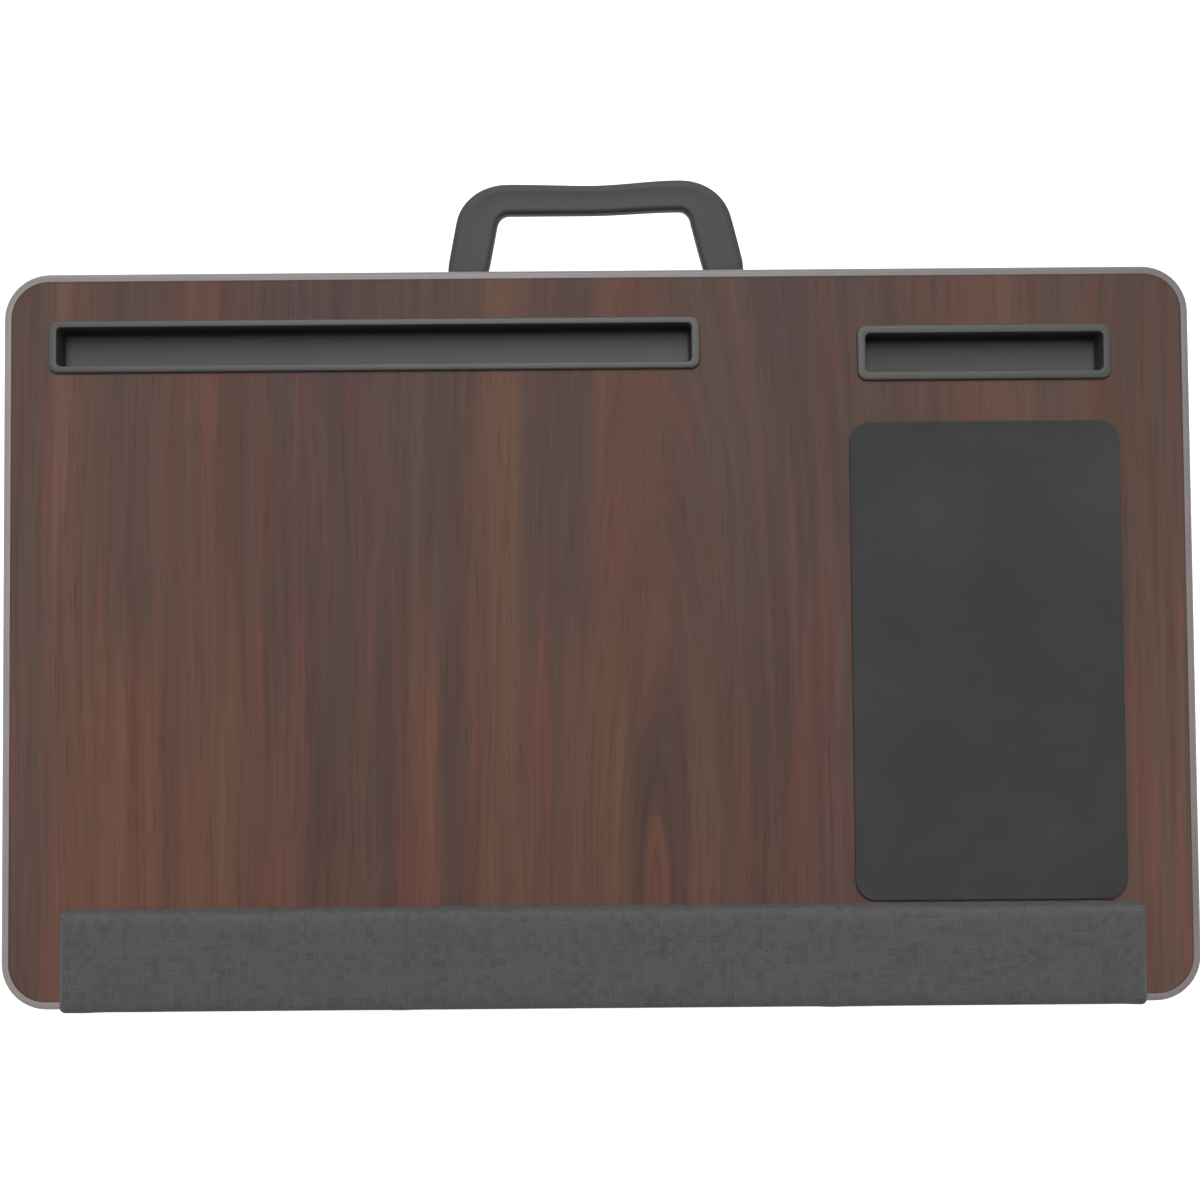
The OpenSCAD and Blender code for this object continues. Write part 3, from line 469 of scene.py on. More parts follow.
def makeMetal(name, colour, roughness):
    # faintly brushed along Y
    material, tree, shader = startMaterial(name, colour, roughness, 0.5)
    shader.inputs["Metallic"].default_value = 1
    point = stretched(tree, objectPoint(tree), (900, 60, 900))
    scratch = noiseAt(tree, point, detail=3, roughness=0.7)
    rough = remap(tree, scratch, 0.3, 0.7, roughness - 0.07, roughness + 0.1)
    feed(shader, "Roughness", rough)
    worn = blendColour(tree, remap(tree, scratch, 0.35, 0.7), colour, scaled(colour, 0.8))
    feed(shader, "Base Color", worn)
    bumpInto(shader, scratch, 0.00002, 0.5)
    return material


def makeChipboard():
    material, tree, shader = startMaterial("coreBoard", srgb(178, 146, 108), 0.85, 0.2)
    flakes = put(tree, "ShaderNodeTexVoronoi",
                 {"Vector": stretched(tree, objectPoint(tree), (260, 260, 700)), "Scale": 1.0})
    colour = blendColour(tree, flakes.outputs["Color"], srgb(150, 118, 84), srgb(196, 166, 126))
    feed(shader, "Base Color", colour)
    bumpInto(shader, flakes.outputs["Distance"], 0.0002, 0.6)
    return material


def makeTrayPlastic():
    # its pockets are a little rougher than its polished rims, and painted darker down inside them
    # as painted shade
    material, tree, shader = startMaterial("trayPlastic", grey(76), 0.48)
    patches, height = mouldedAt(tree)
    colour = blendColour(tree, patches, srgb(74, 73, 72), srgb(78, 77, 76))
    # painted shade: the colour darkens the deeper it lies in a pocket
    level = axes(tree, objectPoint(tree))[2]
    shade = remap(tree, level, boardTop - 6 * mm, boardTop + 1 * mm, 0.75, 1.0)
    feed(shader, "Base Color", shaded(tree, colour, shade))
    feed(shader, "Roughness", remap(tree, shade, 0.75, 1.0, 0.58, 0.46))
    bumpInto(shader, height, 0.00003, 0.6)
    return material


def makeEdgeBand():
    # painted shade: a shade darker along the back and towards the right, as if less light falls
    # there
    material, tree, shader = startMaterial("greigeEdgeBand", srgb(148, 140, 140), 0.42, 0.45)
    patches, height = mouldedAt(tree, Grain=900.0, Clouds=30.0)
    colour = blendColour(tree, patches, srgb(144, 136, 136), srgb(152, 145, 144))
    x, y = axes(tree, objectPoint(tree))[:2]
    # painted shade over the band's colour, darker to the right and along the back
    shade = times(tree, remap(tree, x, -0.3, 0.3, 1.05, 0.82),
                  remap(tree, y, rearEdge - 24 * mm, rearEdge - 2 * mm, 1.0, 0.75))
    feed(shader, "Base Color", shaded(tree, colour, shade))
    feed(shader, "Roughness", remap(tree, patches, 0, 1, 0.36, 0.46))
    bumpInto(shader, height, 0.00003, 0.4)
    return material


finish = {
    "walnut": makeWalnut(),
    "band": makeEdgeBand(),
    "core": makeChipboard(),
    "backing": makeMoulded("blackBacking", grey(44), 0.6, 0.00006, 1400),
    "tray": makeTrayPlastic(),
    "pad": makeMoulded("padSheet", grey(61), 0.78, 0.00006, 1600, 0.2, 0.25, 13),
    "padRubber": makeMoulded("padRubber", grey(34), 0.85, 0.0001, 900),
    "grip": makeMoulded("gripRubber", grey(65), 0.6, 0.00004, 1800, 0.05, 0.35),
    "black": makeMoulded("blackNylon", grey(38), 0.5, 0.00004, 1500),
    "steel": makeMetal("zincSteel", grey(178), 0.34),
    "darkMetal": makeMetal("gunmetal", grey(112), 0.36),
    "panel": makeMoulded("panelBoard", grey(46), 0.8, 0.0001, 700),
    "wrist": makeCloth("tweedCloth", grey(84), grey(90), 0.0012, 4.0, 0.00008,
                       slub=0.12, paintedThreadShade=0.14, cloud=0.02),
    "cushion": makeCloth("cushionCloth", grey(50), grey(72), 0.0011, 2.0, 0.00025, 0.7),
    "piping": makeTwill("pipingTwill", grey(44), 0.0009, 0.00015),
    "tape": makeTwill("zipTape", grey(42), 0.0008, 0.0001),
    "thread": makeTwill("stitchThread", grey(84), 0.0005, 0.0001),
    "teeth": makeMoulded("zipTeeth", grey(48), 0.35, 0.00002, 2000),
    "hooks": makePile("hookNap", grey(36), 1100, 0.0004),
    "loops": makePile("loopNap", grey(46), 700, 0.0005),
    "foam": makeMoulded("cutFoam", srgb(200, 196, 186), 0.95, 0.0003, 900),
    "beads": makeMoulded("beads", grey(235), 0.7, 0.0005, 300),
}
print("materials made:", len(finish))


def meshFrom(bm, name):
    mesh = bpy.data.meshes.new(name)
    bm.to_mesh(mesh)
    bm.free()
    return mesh


def finishPiece(bm, name, material, body, replaced=(), smooth=35):
    # closes a bmesh into an object at the origin that rides on its body
    mesh = meshFrom(bm, name)
    piece = placeObject(name, mesh)
    mesh.materials.append(finish[material])
    mesh.shade_smooth()
    if smooth < 180:
        mesh.set_sharp_from_angle(angle=math.radians(smooth))
    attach(piece, body)
    if replaced:
        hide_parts(*replaced)
    return piece


def cleaned(bm):
    bmesh.ops.remove_doubles(bm, verts=bm.verts, dist=0.000005)
    bmesh.ops.recalc_face_normals(bm, faces=bm.faces)
    return bm


def mergedCopy(node):
    # a CAD node's loose triangles, joined
    bm = bmesh.new()
    bm.from_mesh(frame["nodes"][node].data)
    bmesh.ops.remove_doubles(bm, verts=bm.verts, dist=0.00001)
    return bm


def only(kind, items):
    return [item for item in items if isinstance(item, kind)]


def splitLargeFaces(bm):
    bmesh.ops.triangulate(bm, faces=[face for face in bm.faces if len(face.verts) > 4])


def roundOver(bm, edges, width, segments, clamp=False):
    bmesh.ops.bevel(bm, geom=edges, offset=width, segments=segments, profile=0.5, material=-1,
                    affect="EDGES", clamp_overlap=clamp)


def quarterRound(radius, steps=5):
    # how far in and how far down each step of a rounded edge lies, from its side to its top
    turns = [math.pi / 2 * step / steps for step in range(steps + 1)]
    return [(radius * (1 - math.cos(turn)), radius * (1 - math.sin(turn))) for turn in turns]


def roundedLoop(bm, box, insetX, insetY, radius, z, perCorner=8):
    # a flat loop of edges round a rectangle with round corners, inset from a box
    steps = 4 * perCorner
    half = math.pi / steps
    ring = bmesh.ops.create_circle(bm, segments=steps, radius=radius / math.cos(half))["verts"]
    bmesh.ops.rotate(bm, verts=ring, cent=(0, 0, 0), matrix=Matrix.Rotation(half, 3, "Z"))
    gap = Vector((insetX, insetY))
    low, high = Vector(box[0][:2]) + gap, Vector(box[1][:2]) - gap
    centre = (low + high) / 2
    reach = (high - low) / 2 - Vector((radius, radius))
    for vert in ring:
        vert.co.x += centre.x + math.copysign(reach.x, vert.co.x)
        vert.co.y += centre.y + math.copysign(reach.y, vert.co.y)
        vert.co.z = z
    return list({edge for vert in ring for edge in vert.link_edges})


def bridge(bm, loops):
    for first, second in zip(loops, loops[1:]):
        bmesh.ops.bridge_loops(bm, edges=first + second)


def capLoop(bm, loop):
    bmesh.ops.holes_fill(bm, edges=loop, sides=0)


def closedStack(bm, loops):
    bridge(bm, loops)
    capLoop(bm, loops[0])
    capLoop(bm, loops[-1])


def softened(node, name, material, width):
    # a copy of a CAD node with its sharp edges rounded over
    bm = mergedCopy(node)
    bmesh.ops.dissolve_limit(bm, angle_limit=math.radians(1), verts=bm.verts, edges=bm.edges)
    sharp = [edge for edge in bm.edges
             if len(edge.link_faces) == 2 and edge.calc_face_angle(0) > math.radians(40)]
    roundOver(bm, sharp, width * mm, 2, clamp=True)
    splitLargeFaces(bm)
    finishPiece(bm, name, material, frame["nodes"][node]["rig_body"], [node])


def dress(node, material):
    # a CAD node whose shape is right gets its finish
    mesh = frame["nodes"][node].data
    mesh.materials.clear()
    mesh.materials.append(finish[material])


def makeBoard():
    dress("top_laminate", "walnut")
    dress("board_core", "core")
    dress("under_laminate", "backing")
    dress("edge_band", "band")


makeBoard()
print("board dressed")


trayShape = {
    "both": {"rimEdge": 1.0, "mouthEdge": 0.5, "foot": 1.2, "wall": 1.4, "draft": 0.4},
    "tablet_tray": {"rim": 3.4, "end": 4.4, "corner": 5, "slotCorner": 2.2},
    "phone_tray": {"rim": 4.2, "end": 4.2, "corner": 5, "slotCorner": 2.4},
}


def makeTray(node, name):
    size = {key: value * mm for key, value in {**trayShape["both"], **trayShape[node]}.items()}
    box = low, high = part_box(node)
    wall, corner, slotCorner = (size[key] for key in ("wall", "corner", "slotCorner"))
    bm = bmesh.new()
    loops = []

    def around(inset, z, radius):
        loops.append(roundedLoop(bm, box, inset, inset, radius, z))

    def inSlot(inset, z, radius):
        loops.append(roundedLoop(bm, box, size["end"] + inset, size["rim"] + inset, radius, z))

    # outside, from under the tray up to the rim's underside
    inSlot(0.3 * mm - wall, low.z, slotCorner)
    inSlot(-wall, low.z + 0.4 * mm, slotCorner)
    inSlot(-wall, boardTop + 0.01 * mm, slotCorner)
    around(0.1 * mm, boardTop + 0.03 * mm, corner)
    # the rim: side, rounded shoulder, nearly flat top and rounded mouth
    around(0, boardTop + 0.15 * mm, corner)
    for pull, drop in quarterRound(size["rimEdge"]):
        around(pull, high.z - 0.04 * mm - drop, corner - pull)
    for drop, pull in quarterRound(size["mouthEdge"]):
        inSlot(-pull, high.z - drop, slotCorner + pull)
    # the slot: upright walls that narrow a little, and a flat floor
    for pull, rise in quarterRound(size["foot"]):
        inset = size["draft"] + pull
        inSlot(inset, low.z + wall + rise, max(slotCorner - inset, 0.6 * mm))
    closedStack(bm, loops)
    finishPiece(cleaned(bm), name, "tray", "desk", [node], smooth=50)


makeTray("tablet_tray", "tablet_tray_moulding")
makeTray("phone_tray", "phone_tray_moulding")
print("trays moulded")


padShape = {"corner": 10.5, "around": 12, "sheetEdge": 0.45, "baseIn": 0.4, "sag": 0.12}


def makePad():
    corner, edge = padShape["corner"] * mm, padShape["sheetEdge"] * mm
    inset, sag = padShape["baseIn"] * mm, padShape["sag"] * mm

    def stack(box, stations):
        bm = bmesh.new()
        closedStack(bm, [roundedLoop(bm, box, pull, pull, radius, z, padShape["around"])
                         for pull, radius, z in stations])
        return cleaned(bm)

    box = low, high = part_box("mouse_pad_base")
    heights = (low.z, low.z + 0.1 * mm, high.z - 0.05 * mm)
    finishPiece(stack(box, [(0, corner - inset, z) for z in heights]),
                "mouse_pad_foam", "padRubber", "desk", ["mouse_pad_base"])

    # the sheet: its rounded edge, the pressed border, then the very slightly sunk middle
    box = low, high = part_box("mouse_pad_sheet")
    places = [(inset, low.z - 0.05 * mm)]
    places += [(pull, high.z - drop) for pull, drop in quarterRound(edge)]
    places += [(pull * mm, high.z - drop) for pull, drop in ((1.2, 0), (2, sag), (6, sag))]
    finishPiece(stack(box, [(pull, corner - pull, z) for pull, z in places]),
                "mouse_pad_top", "pad", "desk", ["mouse_pad_sheet"], smooth=50)


makePad()
print("mouse pad made")


def meshPoints(mesh):
    points = np.empty(len(mesh.vertices) * 3)
    mesh.vertices.foreach_get("co", points)
    return points.reshape(-1, 3)


def setPoints(mesh, points):
    mesh.vertices.foreach_set("co", points.astype(np.float32).ravel())
    mesh.update()


def clothMap(mesh):
    # lays the weave on each face from the side it faces, in metres
    layer = mesh.uv_layers.get("cloth") or mesh.uv_layers.new(name="cloth")
    points = meshPoints(mesh)
    corners = np.empty(len(mesh.loops), np.int32)
    mesh.loops.foreach_get("vertex_index", corners)
    normals = np.empty(len(mesh.polygons) * 3)
    mesh.polygons.foreach_get("normal", normals)
    sides = np.abs(normals.reshape(-1, 3)).argmax(1)
    totals = np.empty(len(mesh.polygons), np.int32)
    mesh.polygons.foreach_get("loop_total", totals)
    side = np.repeat(sides, totals)
    at = points[corners]
    u = np.where(side == 0, at[:, 1], at[:, 0])
    v = np.where(side == 2, at[:, 1], at[:, 2])
    layer.data.foreach_set("uv", np.column_stack([u, v]).astype(np.float32).ravel())


def remeshed(piece, voxel):
    bpy.ops.object.select_all(action="DESELECT")
    piece.select_set(True)
    bpy.context.view_layer.objects.active = piece
    piece.data.remesh_voxel_size = voxel * mm
    bpy.ops.object.voxel_remesh()


def evaluated(piece):
    return piece.evaluated_get(bpy.context.evaluated_depsgraph_get())


def puff(piece, settings, held):
    # a short cloth run under pressure; held(points) gives each point's hold
    start = meshPoints(piece.data)
    group = piece.vertex_groups.new(name="held")
    for index, hold in enumerate(held(start)):
        if hold > 0:
            group.add([index], float(hold), "REPLACE")
    cloth = piece.modifiers.new("cloth", "CLOTH")
    cloth.settings.vertex_group_mass = "held"
    cloth.settings.use_pressure = True
    cloth.settings.uniform_pressure_force = settings["pressure"]
    cloth.settings.shrink_min = -settings["slack"]
    cloth.settings.tension_stiffness = settings.get("stiffness", 15)
    cloth.settings.compression_stiffness = settings.get("stiffness", 15)
    cloth.settings.bending_stiffness = settings.get("bending", 0.5)
    cloth.settings.effector_weights.gravity = 0
    cloth.settings.quality = 6
    for number in range(1, settings["frames"] + 1):
        scene.frame_set(number)
    moved = meshPoints(evaluated(piece).data) - start
    piece.modifiers.remove(cloth)
    piece.vertex_groups.clear()
    scene.frame_set(1)
    far = np.linalg.norm(moved, axis=1, keepdims=True)
    cap = settings["cap"] * mm
    moved *= np.minimum(1, cap * np.tanh(far / cap) / np.maximum(far, 1e-9))
    print(f"  {piece.name}: furthest {far.max() / mm:.1f} mm, kept under {cap / mm:.1f}")
    setPoints(piece.data, start + moved)


def subdivided(piece):
    modifier = piece.modifiers.new("subdivision", "SUBSURF")
    modifier.levels = modifier.render_levels = 1
    mesh = bpy.data.meshes.new_from_object(evaluated(piece))
    piece.modifiers.remove(modifier)
    old = piece.data
    piece.data = mesh
    bpy.data.meshes.remove(old)
    mesh.shade_smooth()


wristShape = {
    "edge": 3.6, "tuck": 0.5, "corner": 3.2, "shrink": 0.2, "crown": 0.8, "grid": 5,
    "pressure": 2, "slack": 0.004, "cap": 0.35, "frames": 10,
}


def cutAcross(bm, axis, places):
    # cuts straight through the whole mesh at each place along an axis
    normal = [float(number == axis) for number in range(3)]
    for place in places:
        everything = bm.verts[:] + bm.edges[:] + bm.faces[:]
        point = [place * part for part in normal]
        bmesh.ops.bisect_plane(bm, geom=everything, plane_co=point, plane_no=normal, dist=1e-7)


def evenly(low, high, pitch):
    count = max(1, round((high - low) / pitch))
    return [low + (high - low) * number / count for number in range(1, count)]


def makeWristRest():
    box = low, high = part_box("wrist_rest_cover")
    shape = wristShape
    shrink, crown, corner, edge = (shape[key] * mm for key in ("shrink", "crown", "corner", "edge"))
    bm = bmesh.new()
    top = high.z - crown
    places = [(0, low.z + (top - edge - low.z) * number / 5) for number in range(6)]
    places += [(pull, top - drop) for pull, drop in quarterRound(edge, 6)[1:]]
    closedStack(bm, [roundedLoop(bm, box, shrink + pull, shrink + pull,
                                 max(corner - pull * 0.7, 0.9 * mm), z, 5) for pull, z in places])
    inset = shrink + corner
    cutAcross(bm, 0, evenly(low.x + inset, high.x - inset, shape["grid"] * mm))
    cutAcross(bm, 1, evenly(low.y + inset, high.y - inset, shape["grid"] * mm))
    splitLargeFaces(bm)
    piece = finishPiece(cleaned(bm), "wrist_rest_cloth", "wrist", "desk",
                        ["wrist_rest_cover", "wrist_rest_foam"], smooth=180)
    puff(piece, shape, lambda points: (points[:, 2] < low.z + 2 * mm).astype(float))
    points = meshPoints(piece.data)
    middle = (low + high) / 2
    rise = np.clip((points[:, 2] - low.z) / (high.z - low.z), 0, 1) ** 3
    across = np.clip((points[:, 1] - middle.y) / (high.y - middle.y), -1, 1)
    points[:, 2] += crown * rise * (1 - across ** 2)
    # the cloth is drawn in a little round the foot
    tuck = np.clip(1 - (points[:, 2] - low.z) / (3 * mm), 0, 1) ** 2 * shape["tuck"] * mm
    points[:, 1] -= np.sign(points[:, 1] - middle.y) * tuck
    points[:, 0] -= np.sign(points[:, 0] - middle.x) * tuck
    for axis in range(3):
        points[:, axis] = np.clip(points[:, axis], low[axis] + 0.02 * mm, high[axis])
    setPoints(piece.data, points)
    clothMap(piece.data)
    dress("wrist_rest_base", "black")


makeWristRest()
print("wrist rest covered")


handleShape = {
    "span": 134.2, "lean": 10.8, "bend": 17, "bar": 15.8, "leg": 21.2, "dip": 0.9,
    "rise": 1.6, "shoulderIn": 1.6,      # how the right shoulder differs from the left
    "start": 3, "thick": 9, "hollow": 0.6,
    "around": 48, "legSteps": 12, "bendSteps": 14, "barSteps": 16,
}


def handleLine():
    # stations along the grip: place, direction of its outer side, half its width
    size = handleShape
    bend, leg, bar, start = (size[key] for key in ("bend", "leg", "bar", "start"))
    reach = (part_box("handle_grip")[1].y - rearEdge) / mm
    barY = reach - size["rise"] - bar / 2
    lean = math.radians(size["lean"])
    bendX = size["span"] / 2 - barY * math.tan(lean) - bend * math.tan((math.pi / 2 - lean) / 2)
    bendY = barY - bend
    legX, legY = bendX + bend * math.cos(lean), bendY + bend * math.sin(lean)

    def bounded(share):
        return min(1, max(0, share))

    def ease(share):
        return share * share * (3 - 2 * share)

    half = []
    for step in range(size["legSteps"] + 1):
        share = step / size["legSteps"]
        y = start + (legY - start) * share
        half.append((legX + (legY - y) * math.tan(lean), y, lean * min(1, 2 * share), leg / 2))
    for step in range(1, size["bendSteps"] + 1):
        share = step / size["bendSteps"]
        turn = lean + (math.pi / 2 - lean) * share
        width = leg + (bar - leg) * ease(share)
        half.append((bendX + bend * math.cos(turn), bendY + bend * math.sin(turn), turn, width / 2))
    for step in range(1, size["barSteps"] + 1):
        share = step / size["barSteps"]
        dip = size["dip"] * ease(share)
        half.append((bendX * (1 - share), barY - dip / 2, math.pi / 2, (bar - dip) / 2))
    whole = half + [(-x, y, math.pi - turn, width) for x, y, turn, width in reversed(half[:-1])]

    def settled(x, y):
        # the right shoulder lies a little further out than the left, and nearer the middle
        right = ease(bounded((x / bendX + 0.1) / 1.1))
        out = size["rise"] * right * bounded(y / barY)
        inward = size["shoulderIn"] * right * bounded((y - 0.19 * barY) / (0.53 * barY))
        return x - inward, y + out

    return [(*settled(x, y), turn, width) for x, y, turn, width in whole]


def gripSection(angle, halfWidth):
    # a flattened round with a shallow hollow above and below, nearer its inner side
    size = handleShape

    def soft(value, power):
        return math.copysign(abs(value) ** power, value)

    across = soft(math.cos(angle), 0.62)
    place = (across + 0.10) / 0.62
    hollow = size["hollow"] * max(0, 1 - place * place) ** 0.8
    up = (size["thick"] / 2 - hollow) * soft(math.sin(angle), 0.4)
    return across * halfWidth, up


def makeGrip():
    low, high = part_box("handle_grip")
    middle = Vector((0, rearEdge, (low.z + high.z) / 2))
    bm = bmesh.new()
    ring = bmesh.ops.create_circle(bm, segments=handleShape["around"], radius=1)["verts"]
    angles = [2 * math.pi * number / len(ring) for number in range(len(ring))]
    edges = [bm.edges.get((ring[number], ring[number - 1])) for number in range(len(ring))]
    firstLoop = list(edges)
    stations = handleLine()
    for number, (x, y, turn, halfWidth) in enumerate(stations):
        if number:
            grown = bmesh.ops.extrude_edge_only(bm, edges=edges)["geom"]
            edges = [edge for edge in only(bmesh.types.BMEdge, grown) if len(edge.link_faces) == 1]
            verts = only(bmesh.types.BMVert, grown)
            ring = [next(edge.other_vert(vert) for edge in vert.link_edges
                         if edge.other_vert(vert) in verts) for vert in ring]
        fromEnd = min(number, len(stations) - 1 - number)
        narrow = 1 - 0.05 * max(0, 1 - fromEnd / 1.5)
        for vert, angle in zip(ring, angles):
            across, up = (part * narrow for part in gripSection(angle, halfWidth))
            place = Vector((x + across * math.cos(turn), y + across * math.sin(turn), up))
            vert.co = place * mm + middle
    capLoop(bm, firstLoop)
    capLoop(bm, edges)
    finishPiece(cleaned(bm), "handle_soft_grip", "grip", "handle", ["handle_grip"],
                smooth=60)


makeGrip()
softened("handle_spine", "handle_core_bar", "black", 0.3)
softened("handle_bracket_left", "hinge_bracket_left", "black", 0.35)
softened("handle_bracket_right", "hinge_bracket_right", "black", 0.35)
softened("handle_pin_left", "hinge_pin_left", "steel", 0.25)
softened("handle_pin_right", "hinge_pin_right", "steel", 0.25)
print("handle made")


screwShape = {"slot": 0.42, "reach": 0.62, "recess": 0.7, "around": 24}


def addScrew(bm, centre, headRadius, headLow, headHigh, shankRadius, shankTop):
    # a domed head that faces down, with a cross recess, and its shank above
    size = screwShape
    height = headHigh - headLow

    def circle(radius, z):
        ring = bmesh.ops.create_circle(bm, segments=size["around"], radius=radius)["verts"]
        bmesh.ops.translate(bm, vec=(centre.x, centre.y, z), verts=ring)
        return list({edge for vert in ring for edge in vert.link_edges})

    profile = [(shankRadius, shankTop), (shankRadius, headHigh), (headRadius, headHigh),
               (headRadius, headHigh - 0.35 * height), (headRadius * 0.93, headLow + 0.3 * height),
               (headRadius * 0.8, headLow + 0.08 * height), (headRadius * 0.68, headLow)]
    loops = [circle(radius, z) for radius, z in profile]
    bridge(bm, loops)
    capLoop(bm, loops[0])
    # the cross, drawn as a twelve-cornered outline and sunk into the head
    wide, long = size["slot"] / 2 * headRadius * 0.5, size["reach"] / 2 * headRadius * 1.55
    corners = [(wide, wide), (wide, long), (-wide, long), (-wide, wide)]
    outline = []
    for quarter in range(4):
        turn = Matrix.Rotation(math.pi / 2 * quarter, 2)
        for corner in corners[:3]:
            outline.append(turn @ Vector(corner))
    verts = [bm.verts.new((centre.x + p.x, centre.y + p.y, headLow)) for p in outline]
    crossing = [bm.edges.new((verts[number - 1], verts[number])) for number in range(len(verts))]
    bmesh.ops.triangle_fill(bm, edges=loops[-1] + crossing, use_beauty=True)
    sunk = bmesh.ops.extrude_edge_only(bm, edges=crossing)["geom"]
    deep = only(bmesh.types.BMVert, sunk)
    bmesh.ops.translate(bm, vec=(0, 0, size["recess"] * height), verts=deep)
    bottom = Vector((centre.x, centre.y, 0))
    bmesh.ops.scale(bm, vec=(0.8, 0.8, 1), space=Matrix.Translation(-bottom), verts=deep)
    capLoop(bm, [edge for edge in only(bmesh.types.BMEdge, sunk)
                 if edge.verts[0] in deep and edge.verts[1] in deep])


def islands(node):
    # the lowest and the highest corner of each separate solid of a grouped CAD node
    bm = mergedCopy(node)
    left = set(bm.verts)
    found = []
    while left:
        queue = [left.pop()]
        points = []
        while queue:
            vert = queue.pop()
            points.append(vert.co.copy())
            for edge in vert.link_edges:
                other = edge.other_vert(vert)
                if other in left:
                    left.remove(other)
                    queue.append(other)
        found.append((Vector(map(min, *points)), Vector(map(max, *points))))
    bm.free()
    return sorted(found, key=lambda pair: tuple(pair[0]))


def makeScrews(node, name, headHeight, shankShare):
    bm = bmesh.new()
    for low, high in islands(node):
        radius = (high.x - low.x) / 2
        headTop = low.z + headHeight * mm
        addScrew(bm, (low + high) / 2, radius, low.z, headTop, radius * shankShare, high.z)
    cleaned(bm)
    finishPiece(bm, name, "steel", "desk", [node], smooth=40)


makeScrews("bracket_screws", "hinge_screws", 1.8, 0.53)
makeScrews("wrist_rest_screws", "rest_screws", 1.0, 0.51)
print("screws cut")


cushionShape = {
    "corner": 34, "under": 20, "draw": 4, "swellRoom": 7, "channel": 19.5, "channelWide": 15,
    # where the mesh is cut so that it can bend, mm from the channel and up from the foot
    "cutsAlong": (-60, -32, -15, -7, 0, 7, 15, 32, 60), "cutsUp": (14, 28, 42),
    "voxel": 5, "pressure": 4.5, "slack": 0.035, "cap": 9, "frames": 20,
    "stiffness": 12, "bending": 0.25,
}


def makeCushion():
    size = cushionShape
    low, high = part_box("cushion_cover")
    tapeLow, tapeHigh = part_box("zip_tape")
    room = size["swellRoom"] * mm
    middle = (low + high) / 2
    bm = bmesh.new()
    bmesh.ops.create_cube(bm, size=1)
    rear = tapeLow.y - 0.4 * mm
    extent = Vector((high.x - low.x - 2 * room, rear - low.y - room, high.z - low.z))
    centre = Vector((middle.x, (rear + low.y + room) / 2, middle.z))
    bmesh.ops.scale(bm, vec=extent, verts=bm.verts)
    bmesh.ops.translate(bm, vec=centre, verts=bm.verts)
    upright = [edge for edge in bm.edges if abs((edge.verts[0].co - edge.verts[1].co).z) > 10 * mm]
    roundOver(bm, upright, size["corner"] * mm, 8)
    below = [edge for edge in bm.edges if all(vert.co.z < low.z + 1 * mm for vert in edge.verts)]
    roundOver(bm, below, size["under"] * mm, 8)
    # cuts for the drawn-in sides and for the sewn channel
    channelY = centre.y
    cutAcross(bm, 0, [middle.x + extent.x / 2 * number / 9 for number in range(-8, 9)])
    cutAcross(bm, 1, [channelY + offset * mm for offset in size["cutsAlong"]])
    cutAcross(bm, 2, [low.z + height * mm for height in size["cutsUp"]])
    draw = size["draw"] * mm
    for vert in bm.verts:
        across = (vert.co.x - middle.x) / (extent.x / 2)
        along = (vert.co.y - centre.y) / (extent.y / 2)
        down = (high.z - vert.co.z) / (high.z - low.z)
        vert.co.x -= math.copysign(draw * (1 - along ** 4) * min(1, abs(across) ** 3), across)
        if along < 0:
            vert.co.y += draw * (1 - across ** 4) * abs(along) ** 3
        # the channel is drawn up under the middle
        near = max(0, 1 - abs(vert.co.y - channelY) / (size["channelWide"] * mm))
        fade = 1 - min(1, abs(across)) ** 10
        vert.co.z += size["channel"] * mm * near ** 1.3 * down ** 2 * (0.25 + 0.75 * fade)
        vert.co.x -= math.copysign(3 * mm * near * down * min(1, abs(across)) ** 6, across)
    splitLargeFaces(bm)
    piece = finishPiece(cleaned(bm), "cushion_cloth", "cushion", "desk",
                        ["cushion_cover", "bead_fill"], smooth=180)

    def byTape(points, room):
        # the points that lie across from the zip's tape, or just past its edges
        halfTape = (tapeHigh - tapeLow) / 2
        fromTape = np.abs(points[:, [0, 2]] - (0, (tapeLow.z + tapeHigh.z) / 2))
        return (fromTape < (halfTape.x + room * mm, halfTape.z + room * mm)).all(axis=1)

    def held(points):
        top = points[:, 2] > high.z - 2.5 * mm
        channel = (np.abs(points[:, 1] - channelY) < 2.6 * mm) & (points[:, 2] < low.z + 40 * mm)
        behindZip = byTape(points, 3) & (points[:, 1] > rear - 3 * mm)
        return (top | channel | behindZip).astype(float)

    remeshed(piece, size["voxel"])
    puff(piece, size, held)
    points = meshPoints(piece.data)
    # it stands on its foot, and nothing passes the zip's tape
    points[:, 2] = np.clip(points[:, 2], low.z, high.z - 0.05 * mm)
    inTape = byTape(points, 2) & (points[:, 1] > middle.y)
    points[inTape, 1] = np.minimum(points[inTape, 1], tapeLow.y - 0.2 * mm)
    setPoints(piece.data, points)
    subdivided(piece)
    clothMap(piece.data)
    return piece, channelY


cushion, channelY = makeCushion()
dress("cushion_panel", "panel")
dress("cushion_piping", "piping")
dress("hook_strips", "hooks")
dress("loop_strips", "loops")
print("cushion filled")


seams = {"pitch": 4.2, "length": 3.1, "radius": 0.33, "channelEnds": 60}


def addStitch(bm, middle, along):
    radius, half = seams["radius"] * mm, seams["length"] * mm / 2
    made = bmesh.ops.create_uvsphere(bm, u_segments=6, v_segments=4, radius=1)["verts"]
    turn = Vector((0, 0, 1)).rotation_difference(along).to_matrix().to_4x4()
    shape = Matrix.Diagonal((radius, radius, half, 1))
    bmesh.ops.transform(bm, matrix=Matrix.Translation(middle) @ turn @ shape, verts=made)


def stitchPlaces(length):
    # the middles of the stitches of a seam, from its own middle
    pitch = seams["pitch"] * mm
    count = int(length / pitch)
    return [(number - (count - 1) / 2) * pitch for number in range(count)]


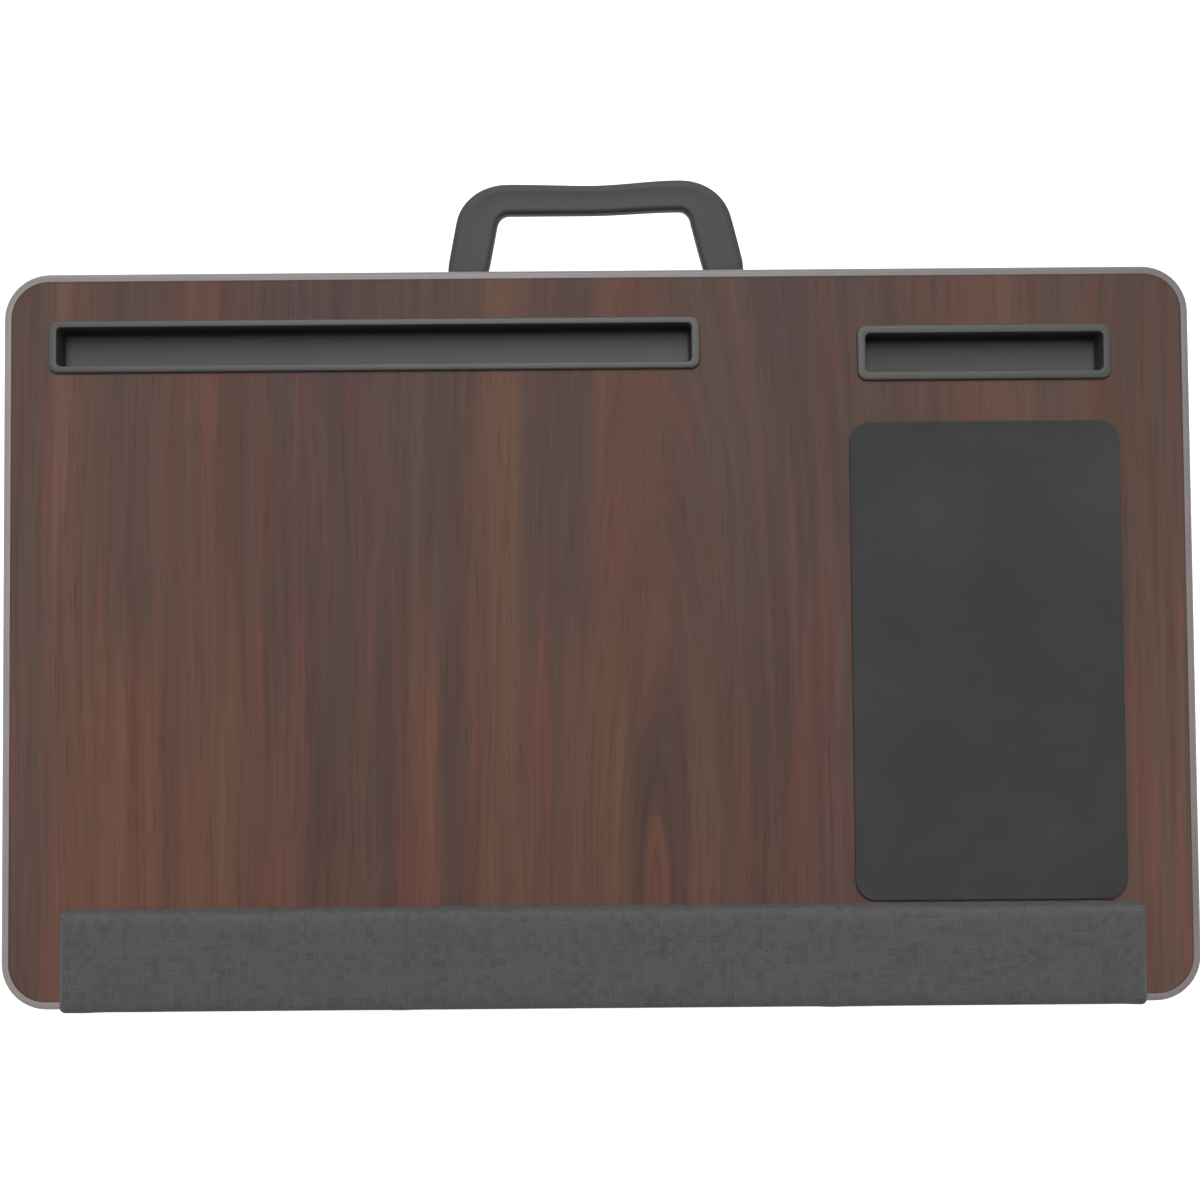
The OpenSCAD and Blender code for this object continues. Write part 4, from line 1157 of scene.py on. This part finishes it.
def makeChannelStitches():
    tree = BVHTree.FromObject(cushion, bpy.context.evaluated_depsgraph_get())
    low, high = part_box("cushion_cover")
    bm = bmesh.new()
    up = Vector((0, 0, 1))
    for x in stitchPlaces(high.x - low.x - seams["channelEnds"] * mm):
        here, ahead = (tree.ray_cast(Vector((x + step, channelY, low.z - 0.01)), up)[0]
                       for step in (0, 1 * mm))
        if here and ahead:
            addStitch(bm, here - Vector((0, 0, 0.1 * mm)), (ahead - here).normalized())
    finishPiece(bm, "channel_stitches", "thread", "desk", smooth=180)


makeChannelStitches()
print("channel sewn")


zipShape = {"toothLong": 1.25, "toothTall": 3.4, "stagger": 0.55, "seamIn": 2.2}


def makeZip():
    low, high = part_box("zip_teeth")
    tapeLow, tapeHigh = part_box("zip_tape")
    middleZ = (low.z + high.z) / 2
    pitch = 2 * mm
    count = int((high.x - low.x) / pitch)
    bm = bmesh.new()
    for number in range(count):
        x = low.x + pitch * (number + 0.5)
        side = 1 if number % 2 else -1
        made = bmesh.ops.create_cube(bm, size=1)["verts"]
        size = Vector((zipShape["toothLong"], (high.y - low.y) / mm, zipShape["toothTall"])) * mm
        place = Vector((x, (low.y + high.y) / 2, middleZ + side * zipShape["stagger"] * mm))
        turned = Matrix.Translation(place) @ Matrix.Diagonal((*size, 1))
        bmesh.ops.transform(bm, matrix=turned, verts=made)
        outer = [vert for vert in made if vert.co.y > place.y]
        bmesh.ops.scale(bm, vec=(0.72, 1, 0.8), space=Matrix.Translation(-place), verts=outer)
    finishPiece(bm, "zip_interlocked_teeth", "teeth", "desk", ["zip_teeth"])
    dress("zip_tape", "tape")
    softened("zip_stops", "zip_end_stops", "darkMetal", 0.3)
    softened("zip_slider", "zip_slider_body", "darkMetal", 0.3)
    softened("zip_pull", "zip_pull_tab", "darkMetal", 0.35)

    bm = bmesh.new()
    inset = zipShape["seamIn"] * mm
    sewnY = tapeHigh.y + 0.05 * mm
    for z in (tapeLow.z + inset, tapeHigh.z - inset):
        for x in stitchPlaces(tapeHigh.x - tapeLow.x - 4 * mm):
            addStitch(bm, Vector((x, sewnY, z)), Vector((1, 0, 0)))
    for x in (tapeLow.x + inset, tapeHigh.x - inset):
        for up in stitchPlaces(tapeHigh.z - tapeLow.z - 5 * mm):
            addStitch(bm, Vector((x, sewnY, middleZ + up)), Vector((0, 0, 1)))
    finishPiece(bm, "zip_stitches", "thread", "desk", smooth=180)


makeZip()
print("zip made")


studio = {
    "world": 0.1, "horizon": 0.95, "floor": 0.55, "floorGlow": 0.92, "floorDrop": 0.5,
    # name, place in metres, aim, width, height, watts
    "lights": [
        ("key", (-0.3, 3.7, 6.6), (0, 0, 0.05), 4.4, 6.0, 575),
    ],
}


def makeStudio():
    world = bpy.data.worlds.new("studio")
    scene.world = world
    world.use_nodes = True
    tree = world.node_tree
    background = tree.nodes["Background"]
    background.inputs["Color"].default_value = (1, 1, 1, 1)
    # pale round the horizon, as studio walls are, and dimmer overhead
    height = axes(tree, put(tree, "ShaderNodeTexCoord").outputs["Generated"])[2]
    glow = remap(tree, height, 0.06, 0.36, studio["horizon"], studio["world"])
    feed(background, "Strength", glow)
    scene.view_settings.view_transform = "Standard"
    scene.view_settings.look = "None"
    for name, place, aim, width, height, power in studio["lights"]:
        data = bpy.data.lights.new(name, "AREA")
        data.shape = "RECTANGLE"
        data.size, data.size_y, data.energy = width, height, power
        light = placeObject(name, data)
        light.location = place
        light.rotation_euler = (Vector(aim) - Vector(place)).to_track_quat("-Z", "Y").to_euler()
    bm = bmesh.new()
    floorPlace = Matrix.Translation((0, 0, -studio["floorDrop"] * mm))
    bmesh.ops.create_grid(bm, x_segments=8, y_segments=8, size=6, matrix=floorPlace)
    floor = placeObject("floor", meshFrom(bm, "floor"))
    material, tree, shader = startMaterial("paleFloor", (studio["floor"],) * 3 + (1,), 0.7, 0.2)
    shader.inputs["Emission Color"].default_value = (1, 1, 1, 1)
    shader.inputs["Emission Strength"].default_value = studio["floorGlow"]
    floor.data.materials.append(material)


makeStudio()
print("studio lit")
